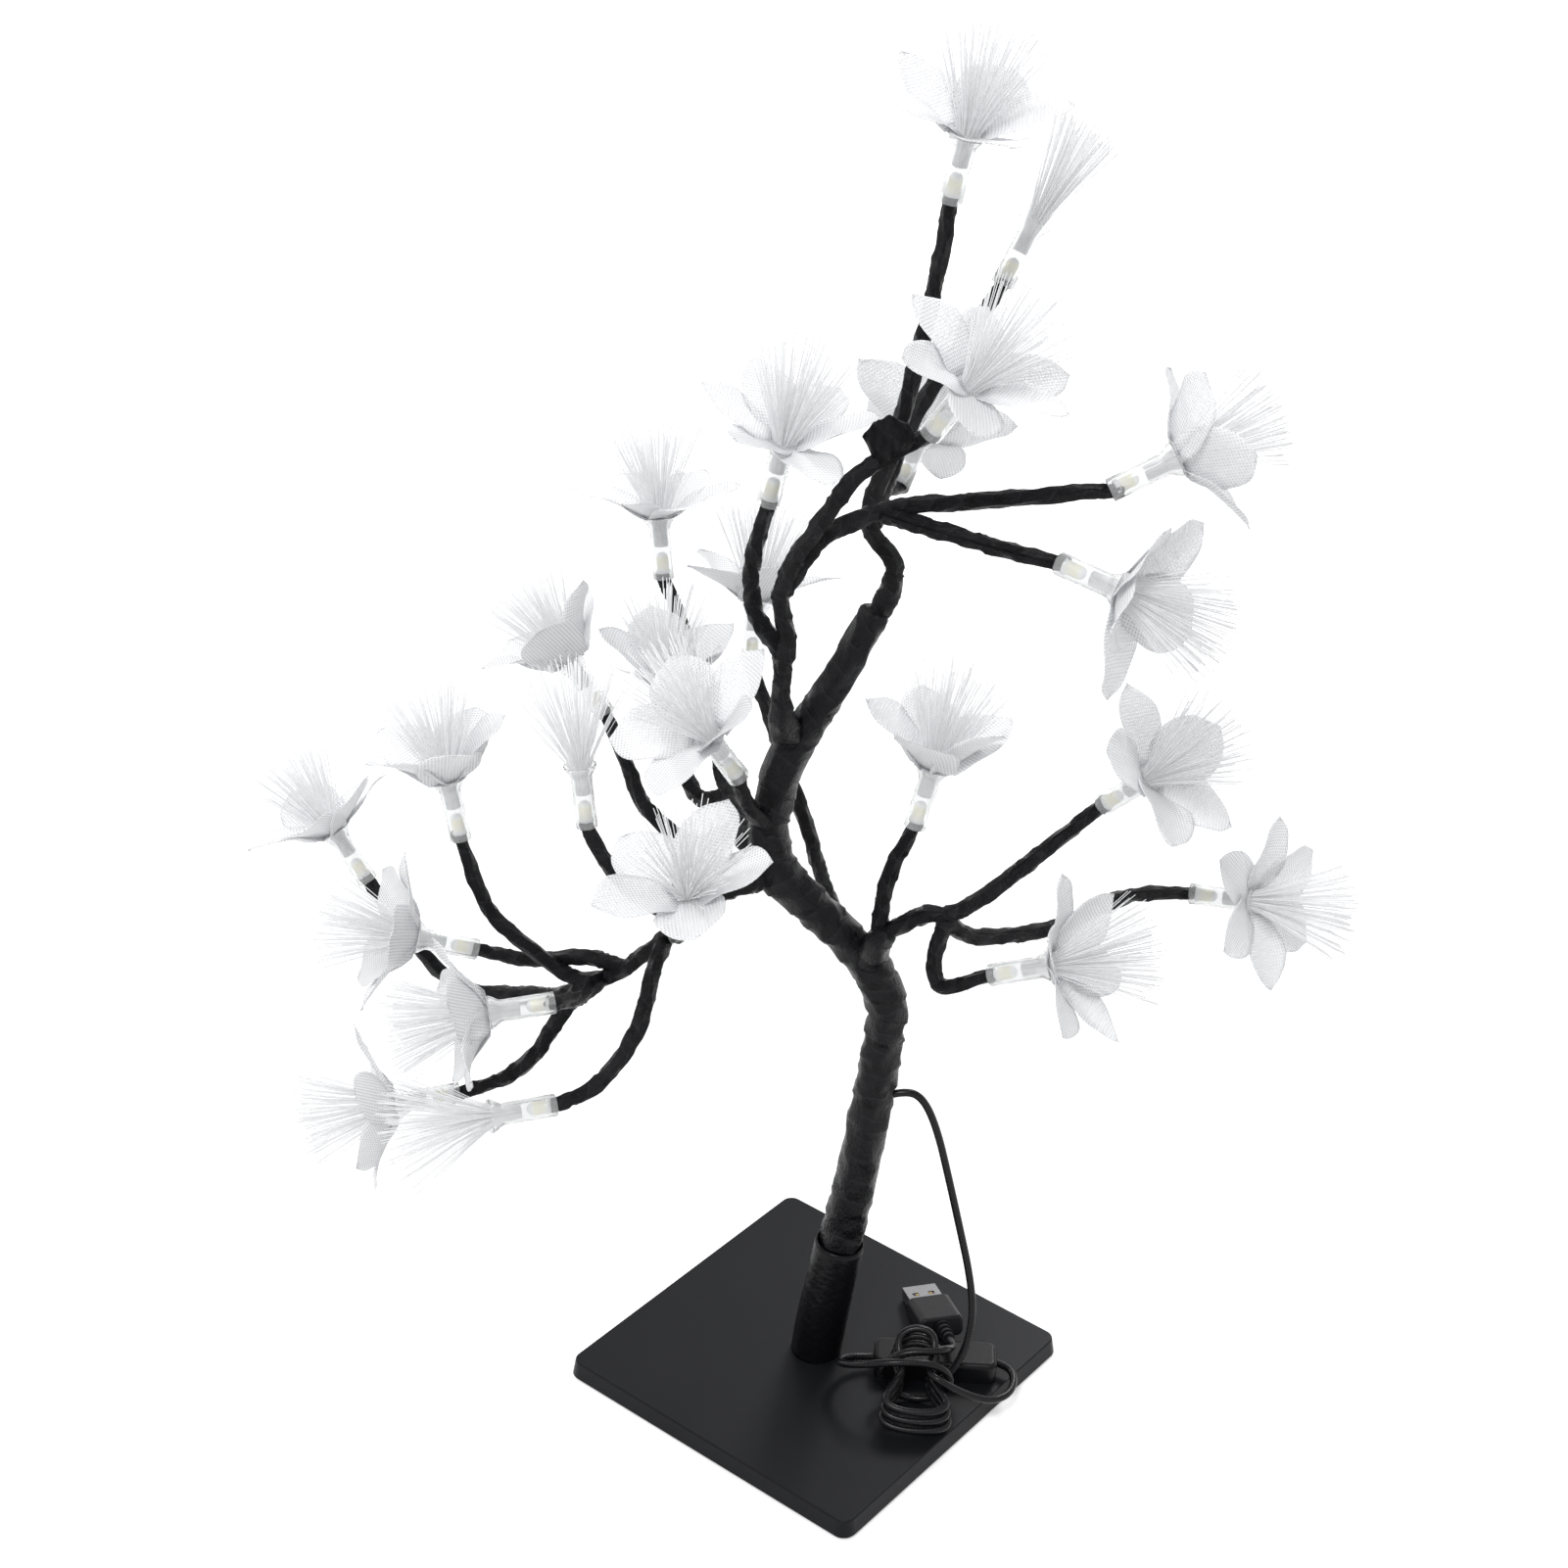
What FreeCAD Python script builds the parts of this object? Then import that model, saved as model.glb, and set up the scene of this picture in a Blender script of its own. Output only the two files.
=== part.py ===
import FreeCAD, Part
import os
from math import sin, cos, radians, pi, sqrt, tan

# Tree-shaped table lamp: a weighted square base, a bent trunk of bundled wire wrapped in
# crepe tape, and twigs that each end in a light, a clear sleeve, a fan of optical fibres
# and a whorl of gauze petals. Millimetres, +Z up, origin at the centre of the base's underside.
# The tree and its lead are drawn in the tree's own plane: across, behind, up. That plane
# stands tree_turn degrees round from the base's front edge.

tree_turn = 36.7

# base
base_side = 122.0            # at the bottom edge
base_draft = 1.0             # how far each side leans in by the top
base_corner = 5.0
cover_height = 6.0
cover_wall = 1.5
cover_edge = 0.6             # rounding of the top edge
pad_thick = 1.0
pad_inset = 0.8
weight_side = 104.0
weight_gap = 0.1
stud_dia = 6.0
stud_clear = 0.2             # radial, stud in the cover and the washer
washer_dia = 14.0
washer_thick = 1.0
nut_across = 10.0
nut_height = 3.0

# trunk: route of its middle line, and the radius of the wrapping at each point
trunk_route = [(0, 0, 7), (3, 0, 31), (12, 0, 91), (17, 0, 138), (17.5, 0, 153), (9, 0, 170),
               (-7, 0, 187), (-18, 0, 199), (-22, 0, 210), (-21, 1, 223), (-17, 2, 239),
               (-4, 3, 264), (8, 5, 289)]
trunk_radius = [8.0, 8.0, 7.0, 6.6, 6.8, 6.4, 6.4, 7.6, 6.8, 6.2, 6.4, 5.2, 4.8]
trunk_sides = 10
core_radius = 3.4            # bundle of steel wires inside the tape
core_gap = 0.15
core_short = 2.0             # the wires end this far inside the tape's top end
sleeve_length = 48.0         # thin plastic sleeve over the foot of the trunk
sleeve_wall = 0.6
sleeve_gap = 0.1

# twigs
twig_sides = 7
twig_radius = 2.7
twig_tip_radius = 2.1
barrel_radius = 4.0          # rolled root on which a limb is bent
barrel_length = 8.0
bend_gap = 0.3
root_radius = 5.4            # taped collar that the barrel lies in

# lamp head, measured along its own axis from the twig's end
head_sides = 10
light_sides = 6
head_sleeve_bore = 2.9
head_sleeve_wall = 0.6
head_sleeve_length = 20.5
head_flare_length = 4.0
head_lip_radius = 5.3
plug_in = 2.0                # how far the twig's end goes into the sleeve
light_radius = 2.3
light_length = 7.0
ferrule_radius = 2.45
ferrule_start = 11.0
ferrule_neck = 2.5
fibre_length = 36.0
fibre_spread = 17.0
petal_thick = 0.4
petal_length = 28.0
petal_half_width = 9.5
petal_hole = 3.2
petal_hub = 5.2
petal_seat_gap = 0.3

# supply lead
cord_dia = 2.6
cord_sides = 8
lead_gap = 0.05              # round the lead where it comes out of the tape or the switch

# in-line switch
switch_length = 42.0
switch_width = 13.0
switch_height = 8.0
switch_wall = 1.3
switch_corner = 3.0
switch_split = 4.6           # height of the lower half
switch_place = (41, -8)
button_radius = 2.6
button_gap = 0.3
button_proud = 1.4
button_flange = 0.9
button_travel = 1.0
board_thick = 1.2

# plug
plug_width = 15.5
plug_height = 8.0
plug_length = 17.0
contact_width = 12.0
contact_height = 4.5
contact_length = 12.0
contact_wall = 0.4
tongue_height = 1.9
relief_length = 8.0
relief_radius = 3.0
relief_ribs = 3

base_height = pad_thick + cover_height
cord_radius = cord_dia / 2


def vec(p):
    return FreeCAD.Vector(*p)


def unit(v):
    out = FreeCAD.Vector(v)
    out.normalize()
    return out


def save(name, shapes):
    """Write one node: a single solid, or a group of separate solids."""
    group = shapes if isinstance(shapes, list) else [shapes]
    for solid in group:
        if not solid.isValid() or solid.Volume <= 0:
            print("CHECK", name, solid.isValid(), solid.Volume)
    shape = group[0] if len(group) == 1 else Part.makeCompound(group)
    shape.exportStep("parts/%s.step" % name)


def turned(shape):
    """The shape, drawn in the tree's plane, in the lamp's own frame."""
    out = shape.copy()
    out.rotate(vec((0, 0, 0)), vec((0, 0, 1)), tree_turn)
    return out


def in_lamp(point):
    """A point of the tree's plane, in the lamp's own frame."""
    a = radians(tree_turn)
    x, y, z = point
    return vec((x * cos(a) - y * sin(a), x * sin(a) + y * cos(a), z))


# Skins: closed solids of flat facets through rings of points.

def facets(triangles):
    faces = [Part.Face(Part.makePolygon([a, b, c, a])) for a, b, c in triangles]
    shell = Part.makeShell(faces)
    shell.sewShape()
    solid = Part.makeSolid(Part.Shell(shell.Faces) if shell.ShapeType != "Shell" else shell)
    if solid.Volume < 0:
        solid.reverse()
    return solid


def band(low, high):
    """Triangles between two rings with as many points each."""
    out = []
    count = len(low)
    for i in range(count):
        j = (i + 1) % count
        out.append((low[i], low[j], high[j]))
        out.append((low[i], high[j], high[i]))
    return out


def cap(ring, middle):
    return [(ring[(i + 1) % len(ring)], ring[i], middle) for i in range(len(ring))]


def centre_of(ring):
    total = vec((0, 0, 0))
    for p in ring:
        total = total + p
    return total * (1.0 / len(ring))


def skin(rings, closed=False):
    """A tube through the rings; closed joins the last ring to the first, as round a bore."""
    triangles = []
    for low, high in zip(rings, rings[1:]):
        triangles += band(low, high)
    if closed:
        triangles += band(rings[-1], rings[0])
    else:
        triangles += cap(rings[0], centre_of(rings[0]))
        triangles += [(b, a, c) for a, b, c in cap(rings[-1], centre_of(rings[-1]))]
    return facets(triangles)


def ring_at(centre, tangent, steady, radius, sides):
    """A regular polygon square to the tangent, its first corner turned to the steady axis."""
    t = unit(tangent)
    side = unit(t.cross(steady))
    up = side.cross(t)
    return [centre + side * (radius * cos(2 * pi * (i + 0.5) / sides))
            + up * (radius * sin(2 * pi * (i + 0.5) / sides)) for i in range(sides)]


def tangents(points):
    out = []
    last = len(points) - 1
    for i in range(len(points)):
        before = points[max(i - 1, 0)]
        after = points[min(i + 1, last)]
        if 0 < i < last:
            out.append(unit(unit(points[i] - before) + unit(after - points[i])))
        else:
            out.append(unit(after - before))
    return out


def wrapped(route, radii, sides, steady=(0, 1, 0)):
    """Tape-wrapped wire along a route, with its own radius at each point."""
    points = [vec(p) for p in route]
    if not isinstance(radii, (list, tuple)):
        radii = [radii] * len(points)
    rings = [ring_at(p, t, vec(steady), r, sides) for p, t, r in zip(points, tangents(points), radii)]
    return skin(rings)


def fused(pieces):
    out = pieces[0].multiFuse(pieces[1:]) if len(pieces) > 1 else pieces[0]
    solids = out.Solids
    if len(solids) != 1:
        print("CHECK fused into", len(solids))
    return solids[0]


# Base

def rounded_block(side_x, side_y, z, height, corner, draft=0.0):
    """A block with round upright corners, leaning in by the draft towards its top."""
    wires = []
    for level, inset in ((z, 0.0), (z + height, draft)):
        x = side_x / 2 - inset
        y = side_y / 2 - inset
        r = corner - inset
        k = r * (1 - sqrt(0.5))
        edges = []
        corners = [(1, 1), (-1, 1), (-1, -1), (1, -1)]
        for n, (sx, sy) in enumerate(corners):
            first, second = ((x * sx, (y - r) * sy), ((x - r) * sx, y * sy))
            if sx * sy < 0:
                first, second = second, first
            mid = ((x - k) * sx, (y - k) * sy)
            edges.append(Part.Arc(vec((*first, level)), vec((*mid, level)), vec((*second, level))))
        loop = []
        for n in range(4):
            a = edges[n]
            b = edges[(n + 1) % 4]
            loop.append(a.toShape())
            loop.append(Part.LineSegment(a.EndPoint, b.StartPoint).toShape())
        wires.append(Part.Wire(loop))
    return Part.makeLoft(wires, True, True)


def make_base():
    z0 = pad_thick
    outer = rounded_block(base_side, base_side, z0, cover_height, base_corner, base_draft)
    top = z0 + cover_height
    rim = [e for e in outer.Edges if abs(e.BoundBox.ZMin - top) < 1e-4 and abs(e.BoundBox.ZMax - top) < 1e-4]
    outer = outer.makeFillet(cover_edge, rim)
    inner_side = base_side - 2 * (cover_wall + base_draft)
    hollow = rounded_block(inner_side, inner_side, z0 - 1, cover_height - cover_wall + 1, base_corner - cover_wall)
    stud_hole = Part.makeCylinder(stud_dia / 2 + stud_clear, cover_height + 2, vec((0, 0, z0)))
    save("base_cover", outer.cut(hollow).cut(stud_hole))

    weight_height = cover_height - cover_wall - weight_gap
    weight = rounded_block(weight_side, weight_side, z0, weight_height, base_corner)
    pocket = Part.makeCylinder(washer_dia / 2 + 1.0, weight_height + 2, vec((0, 0, z0 - 1)))
    save("base_weight", weight.cut(pocket))

    pad_side = base_side - 2 * pad_inset
    save("base_pad", rounded_block(pad_side, pad_side, 0, pad_thick, base_corner - pad_inset))

    roof = z0 + cover_height - cover_wall
    bore = stud_dia / 2 + stud_clear
    washer = Part.makeCylinder(washer_dia / 2, washer_thick, vec((0, 0, roof - washer_thick)))
    hole = Part.makeCylinder(bore, washer_thick + 2, vec((0, 0, roof - washer_thick - 1)))
    save("base_washer", washer.cut(hole))
    nut_top = roof - washer_thick
    corners = [vec((nut_across / sqrt(3) * cos(radians(60 * i)), nut_across / sqrt(3) * sin(radians(60 * i)),
                    nut_top - nut_height)) for i in range(7)]
    nut = Part.Face(Part.makePolygon(corners)).extrude(vec((0, 0, nut_height)))
    thread = Part.makeCylinder(stud_dia / 2, nut_height + 2, vec((0, 0, nut_top - nut_height - 1)))
    save("base_nut", nut.cut(thread))
    return nut_top - nut_height


# Trunk

def trunk_rings(points, ways, radii):
    return [ring_at(p, t, vec((0, 1, 0)), r, trunk_sides) for p, t, r in zip(points, ways, radii)]


def make_trunk(stud_end, collars, holes):
    points = [vec(p) for p in trunk_route]
    ways = tangents(points)
    ways[0] = vec((0, 0, 1))             # the foot stands flat on the base
    inner = points[:-1] + [points[-1] - ways[-1] * core_short]
    core = skin(trunk_rings(inner, ways, [core_radius] * len(inner)))
    stud = Part.makeCylinder(stud_dia / 2, base_height - stud_end + 2.0, vec((0, 0, stud_end)))
    save("trunk_core", turned(fused([core, stud])))

    bore = trunk_rings(inner, ways, [core_radius + core_gap] * len(inner))
    wrap = fused([skin(trunk_rings(points, ways, trunk_radius))] + collars)
    wrap = wrap.cut(skin([[p - vec((0, 0, 1)) for p in bore[0]]] + bore))
    for hole in holes:
        wrap = wrap.cut(hole)
    save("trunk_wrap", turned(max(wrap.Solids, key=lambda s: s.Volume)))

    lean = unit(points[1] - points[0])
    share = (sleeve_length - (points[1] - points[0]).Length) / (points[2] - points[1]).Length
    top_point = points[1] + (points[2] - points[1]) * share
    top_radius = trunk_radius[1] + (trunk_radius[2] - trunk_radius[1]) * share
    routes = [points[0], points[1], top_point]
    direction = [vec((0, 0, 1)), unit(lean + unit(points[2] - points[1])), unit(points[2] - points[1])]
    radii = [trunk_radius[0], trunk_radius[1], top_radius]
    rings = []
    for grow in (sleeve_gap, sleeve_gap + sleeve_wall):
        rings.append(trunk_rings(routes, direction, [r + grow for r in radii]))
    save("trunk_sleeve", turned(skin(rings[0] + rings[1][::-1], closed=True)))


# Limbs: twig routes in the tree's plane. Each limb has a root on which it is bent, the
# axis of that bend, its twigs, and the way each twig's lamp head faces.

limbs = {
    "top": {
        "root": (12, 6, 297), "axis": (0, 1, 0), "from": (9, 5, 287),
        "twigs": [[(12, 6, 297), (12, 7, 304), (6, 9, 312), (5, 10, 322), (10, 12, 336), (16, 16, 363),
                   (21, 20, 391), (23, 22, 409)],
                  [(5.5, 10, 318), (10, 24, 324), (16, 38, 336), (31, 52, 358), (41, 60, 372)],
                  [(6, 9, 314), (5, 22, 318), (8, 34, 316), (13, 44, 312)]],
        "heads": [((23, 22, 409), (0.17, -0.15, 0.97), 5, 58), ((41, 60, 372), (0.42, 0.30, 0.85), 0, 0),
                  ((13, 44, 312), (0.30, 0.80, 0.50), 5, 62)],
    },
    "upper": {
        "root": (-19, -8, 259), "axis": (0, 0, 1), "from": (-17, 0, 247),
        "twigs": [[(-19, -8, 259), (-19, -11, 272), (-20, -14, 284), (-27, -13, 294), (-29, -10, 303),
                   (-28, -6, 313), (-25, 0, 324)],
                  [(-19, -12, 276), (-18, -16, 289), (-20, -17, 302), (-17, -18, 313), (-10, -19, 326), (-1, -19, 340),
                   (8, -17, 347), (20, -16, 354)],
                  [(-20, -16, 303), (-8, -15, 321), (10, -14, 330), (35, -12, 333), (72, -10, 337)],
                  [(8, -14, 329), (22, -19, 327), (38, -24, 325), (58, -28, 322)]],
        "heads": [((-25, 0, 324), (0.20, -0.10, 0.97), 6, 66), ((20, -16, 354), (0.50, -0.25, 0.83), 6, 70),
                  ((72, -10, 337), (0.88, 0.15, 0.45), 5, 58), ((58, -28, 322), (0.80, -0.55, -0.10), 5, 62)],
    },
    "right": {
        "root": (14, -9, 182), "axis": (0, 0, 1), "from": (11, -2, 169),
        "twigs": [[(14, -9, 182), (20, -11, 189), (29, -12, 194), (34, -13, 193), (42, -8, 184), (55, 0, 180),
                   (71, 10, 178), (94, 28, 179), (116, 40, 174)],
                  [(14, -9, 182), (14, -7, 193), (17, -4, 206), (23, 0, 218)],
                  [(33, -13, 193.5), (46, -5, 197), (62, 3, 208), (81, 10, 223)],
                  [(34, -13, 193), (31, -20, 182), (34, -23, 175), (48, -28, 183)]],
        "heads": [((116, 40, 174), (0.93, -0.30, 0.10), 6, 72), ((23, 0, 218), (0.22, 0.10, 0.97), 5, 50),
                  ((81, 10, 223), (0.62, -0.35, 0.70), 5, 70), ((48, -28, 183), (0.88, -0.25, 0.40), 6, 62)],
    },
    "left": {
        "root": (-31, -9, 200), "axis": (0, 0, 1), "from": (-20, -2, 201),
        "twigs": [[(-31, -9, 200), (-39, -10, 194), (-50, -8, 181), (-61, -4, 168), (-72, 0, 157), (-82, 3, 154),
                   (-92, 6, 158), (-111, 12, 172), (-121, 20, 194)],
                  [(-37, -10, 196), (-50, -12, 191), (-61, -10, 194), (-72, -2, 201), (-79, 6, 209)],
                  [(-46, -9, 186), (-48, -24, 190), (-47, -38, 199), (-44, -50, 210)],
                  [(-66, -2, 162), (-79, 5, 161), (-99, 14, 153), (-117, 20, 152)],
                  [(-76, 1, 155), (-88, 8, 144), (-100, 18, 137), (-123, 32, 128), (-140, 42, 137), (-158, 50, 158)],
                  [(-80, 2, 153), (-88, 0, 140), (-96, -3, 127), (-106, -4, 118), (-120, -6, 113)],
                  [(-74, 0, 156), (-80, -14, 158), (-86, -26, 164)],
                  [(-53, -7, 177), (-56, -20, 173), (-60, -36, 160), (-71, -46, 148), (-83, -52, 144)]],
        "heads": [((-121, 20, 194), (-0.20, 0.12, 0.97), 5, 50), ((-79, 6, 209), (-0.12, 0.15, 0.98), 0, 0),
                  ((-44, -50, 210), (0.05, -0.50, 0.86), 5, 68), ((-117, 20, 152), (-0.86, -0.20, 0.30), 5, 60),
                  ((-158, 50, 158), (-0.50, 0.10, 0.80), 5, 62), ((-120, -6, 113), (-0.90, -0.20, -0.10), 6, 62),
                  ((-86, -26, 164), (-0.88, -0.24, -0.06), 5, 56), ((-83, -52, 144), (-0.90, -0.35, 0.0), 0, 0)],
    },
    "back": {
        "root": (-29, 13, 203), "axis": (0, 0, 1), "from": (-20, 3, 203),
        "twigs": [[(-29, 13, 203), (-33, 24, 206), (-39, 42, 210), (-44, 60, 218), (-53, 80, 238), (-62, 90, 256)],
                  [(-36, 33, 208), (-45, 40, 201), (-52, 50, 205), (-57, 60, 212)],
                  [(-31, 19, 204.5), (-48, 28, 192), (-63, 38, 198), (-71, 52, 207), (-79, 66, 217)]],
        "heads": [((-62, 90, 256), (-0.10, 0.20, 0.97), 6, 62), ((-57, 60, 212), (-0.05, 0.0, 0.99), 5, 46),
                  ((-79, 66, 217), (-0.60, 0.25, 0.80), 5, 50)],
    },
}

# Two thin twigs taped straight to the trunk.
trunk_twigs = {
    "twigs": [[(3, 4, 173), (0, 14, 176), (-5, 26, 182), (-12, 44, 194), (-22, 64, 212), (-32, 78, 232)],
              [(-21, -3, 216), (-28, -9, 228), (-31, -13, 240)]],
    "heads": [((-32, 78, 232), (0.05, 0.35, 0.93), 5, 58), ((-31, -13, 240), (-0.45, -0.30, 0.84), 5, 66)],
}


def radii_of(count, start, end):
    return [start + (end - start) * i / (count - 1) for i in range(count)]


def run_tips(route, facing):
    """A route whose last point goes on into the head's sleeve, along the head's axis."""
    return route + [tuple(vec(route[-1]) + unit(vec(facing)) * plug_in)]


def twig_solids(group):
    facing_at = {head[0]: head[1] for head in group["heads"]}
    out = []
    for route in group["twigs"]:
        facing = facing_at.get(tuple(route[-1]))
        points = run_tips(route, facing)
        radii = radii_of(len(points) - 1, twig_radius, twig_tip_radius) + [twig_tip_radius]
        steady = (0, 1, 0.2) if abs(route[-1][1] - route[0][1]) < abs(route[-1][0] - route[0][0]) else (1, 0, 0.2)
        out.append(wrapped(points, radii, twig_sides, steady))
    return out


def make_limb(name, limb):
    """The limb: a barrel across its root, and its twigs fused in one wrapping of tape."""
    root = vec(limb["root"])
    axis = unit(vec(limb["axis"]))
    barrel = Part.makeCylinder(barrel_radius, barrel_length, root - axis * (barrel_length / 2), axis)
    solid = fused([barrel] + twig_solids(limb))
    save("limb_%s" % name, turned(solid))
    place = in_lamp(limb["root"])
    turned_axis = in_lamp(limb["axis"])
    print("bend_%s" % name, [round(c / 1000, 5) for c in place], [round(c, 5) for c in turned_axis])


def make_collar(limb):
    """Taped stub on the trunk, ending at the barrel's middle, and the hollow the barrel turns in."""
    root = vec(limb["root"])
    start = vec(limb["from"])
    axis = unit(vec(limb["axis"]))
    run = root - start
    stub = skin([ring_at(start, run, axis + vec((0.01, 0.02, 0)), root_radius, twig_sides + 1),
                 ring_at(root, run, axis + vec((0.01, 0.02, 0)), root_radius, twig_sides + 1)])
    reach = barrel_length / 2 + bend_gap
    hollow = Part.makeCylinder(barrel_radius + bend_gap, 2 * reach, root - axis * reach, axis)
    return stub, hollow


# Lamp heads, drawn upright at the origin and then set on a twig's end.

def lathe_ring(radius, height, sides, turn=0.5):
    return [vec((radius * cos(2 * pi * (i + turn) / sides), radius * sin(2 * pi * (i + turn) / sides), height))
            for i in range(sides)]


def head_sleeve():
    outer = head_sleeve_bore + head_sleeve_wall
    flare = head_sleeve_length - head_flare_length
    profile = [(outer, 0.0), (outer, flare), (head_lip_radius, head_sleeve_length),
               (head_lip_radius - head_sleeve_wall, head_sleeve_length), (head_sleeve_bore, flare),
               (head_sleeve_bore, 0.0)]
    return skin([lathe_ring(r, z, head_sides) for r, z in profile], closed=True)


def head_light():
    start = plug_in
    profile = [(light_radius, start), (light_radius, start + light_length - light_radius),
               (light_radius * 0.55, start + light_length)]
    return skin([lathe_ring(r, z, light_sides) for r, z in profile])


def fibre_tuft():
    """A bundle in the sleeve that fans out past the lip, its far edge ragged in gores."""
    mouth = head_sleeve_length
    rings = [lathe_ring(ferrule_radius, ferrule_start, head_sides),
             lathe_ring(ferrule_radius, mouth + ferrule_neck, head_sides)]
    rim = []
    inner = []
    for i in range(head_sides):
        a = 2 * pi * (i + 0.5) / head_sides
        far = 1.0 if i % 2 else 0.86
        r = fibre_spread * far
        z = mouth + fibre_length * (0.90 if i % 2 else 0.97)
        rim.append(vec((r * cos(a), r * sin(a), z)))
        inner.append(vec((0.55 * r * cos(a), 0.55 * r * sin(a), mouth + fibre_length * 0.97)))
    return skin(rings + [rim, inner])


def petal_whorl(count, opening):
    """Petals cut in one piece round a hole, opened by an angle from the head's axis."""
    rise = radians(opening)
    seat = head_sleeve_length + petal_seat_gap
    along = [(0.0, 0.0, 0.0), (0.52, 1.0, 0.16), (0.84, 0.66, 0.14)]
    tip = 1.0
    half_width = petal_half_width * 5.0 / count
    top = {}
    for k in range(count):
        middle = 2 * pi * k / count
        outwards = vec((cos(middle), sin(middle), 0))
        sideways = vec((-sin(middle), cos(middle), 0))
        slope = outwards * sin(rise) + vec((0, 0, cos(rise)))
        inwards = vec((0, 0, sin(rise))) - outwards * cos(rise)
        hub = outwards * petal_hub + vec((0, 0, seat))
        for row, (share, width, cup) in enumerate(along):
            spine = hub + slope * (petal_length * share)
            for side in (-1, 0, 1):
                edge = spine + sideways * (side * half_width * width)
                if side and row:
                    edge = edge + inwards * (petal_half_width * cup * 2)
                top[(k, row, side)] = edge
        top[(k, "tip")] = hub + slope * (petal_length * tip) - inwards * 1.5
    for k in range(count):
        corner = 2 * pi * (k + 0.5) / count
        r = petal_hub * 1.02
        top[(k, "notch")] = vec((r * cos(corner), r * sin(corner), seat))
        top[(k, "hole")] = vec((petal_hole * cos(corner), petal_hole * sin(corner), seat))
        top[(k, "hole2")] = vec((petal_hole * cos(corner - pi / count), petal_hole * sin(corner - pi / count), seat))
    triangles = []
    rim = []
    for k in range(count):
        before = (k - 1) % count
        left = (before, "notch")
        right = (k, "notch")
        base = (k, 0, 0)
        triangles += [((before, "hole"), left, (k, "hole2")), (left, base, (k, "hole2")),
                      ((k, "hole2"), base, right), ((k, "hole2"), right, (k, "hole"))]
        rows = [(left, base, right), ((k, 1, -1), (k, 1, 0), (k, 1, 1)), ((k, 2, -1), (k, 2, 0), (k, 2, 1))]
        for low, high in zip(rows, rows[1:]):
            triangles += [(low[0], high[0], high[1]), (low[0], high[1], low[1]),
                          (low[1], high[1], high[2]), (low[1], high[2], low[2])]
        triangles += [(rows[2][0], (k, "tip"), rows[2][1]), (rows[2][1], (k, "tip"), rows[2][2])]
        rim += [left, (k, 1, -1), (k, 2, -1), (k, "tip"), (k, 2, 1), (k, 1, 1)]
    hole = []
    for k in range(count):
        hole += [(k, "hole2"), (k, "hole")]
    lift = vec((0, 0, petal_thick))
    out = []
    for a, b, c in triangles:
        out.append((top[a] + lift, top[b] + lift, top[c] + lift))
        out.append((top[a], top[c], top[b]))
    for loop in (rim, hole[::-1]):
        for a, b in zip(loop, loop[1:] + loop[:1]):
            out.append((top[a], top[b], top[b] + lift))
            out.append((top[a], top[b] + lift, top[a] + lift))
    return facets(out)


def set_on(shape, end, facing, spin):
    out = shape.copy()
    out.rotate(vec((0, 0, 0)), vec((0, 0, 1)), spin)
    out.Placement = FreeCAD.Placement(vec(end), FreeCAD.Rotation(vec((0, 0, 1)), unit(vec(facing)))).multiply(out.Placement)
    return turned(out)


def make_heads(name, group, patterns):
    sleeves, lights, tufts, whorls = [], [], [], []
    for n, (end, facing, petals, opening) in enumerate(group["heads"]):
        spin = 31.0 * n
        sleeves.append(set_on(patterns["sleeve"], end, facing, spin))
        lights.append(set_on(patterns["light"], end, facing, spin))
        tufts.append(set_on(patterns["tuft"], end, facing, spin))
        if petals:
            whorls.append(set_on(petal_whorl(round(petals), opening), end, facing, spin))
    save("sleeves_%s" % name, sleeves)
    save("lights_%s" % name, lights)
    save("fibres_%s" % name, tufts)
    save("petals_%s" % name, whorls)


# Lead

def rounded_route(route):
    """Straight runs joined by tangent arcs, each as large as its two runs allow."""
    points = [vec(p) for p in route]
    edges = []
    start = points[0]
    radii = []
    for before, corner, after in zip(points, points[1:], points[2:]):
        into = unit(corner - before)
        out = unit(after - corner)
        turn = into.getAngle(out)
        shorter = min((corner - before).Length, (after - corner).Length)
        reach = 0.45 * shorter
        radius = reach / tan(turn / 2)
        radii.append(round(radius, 1))
        first = corner - into * reach
        last = corner + out * reach
        bisector = unit(out - into)
        middle = corner + bisector * (radius / cos(turn / 2) - radius)
        edges.append(Part.LineSegment(start, first).toShape())
        edges.append(Part.Arc(first, middle, last).toShape())
        start = last
    edges.append(Part.LineSegment(start, points[-1]).toShape())
    return Part.Wire(edges), radii


def cord_tube(name, route):
    wire, radii = rounded_route(route)
    start = vec(route[0])
    way = unit(vec(route[1]) - start)
    section = Part.Wire(Part.makeCircle(cord_radius, start, way))
    tube = wire.makePipeShell([section], True, True)
    section_volume = pi * cord_radius ** 2 * wire.Length
    print(name, "length %.1f" % wire.Length, "radii", radii, "volume ratio %.4f" % (tube.Volume / section_volume))
    save(name, turned(tube.Solids[0]))
    return wire.Length


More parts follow.
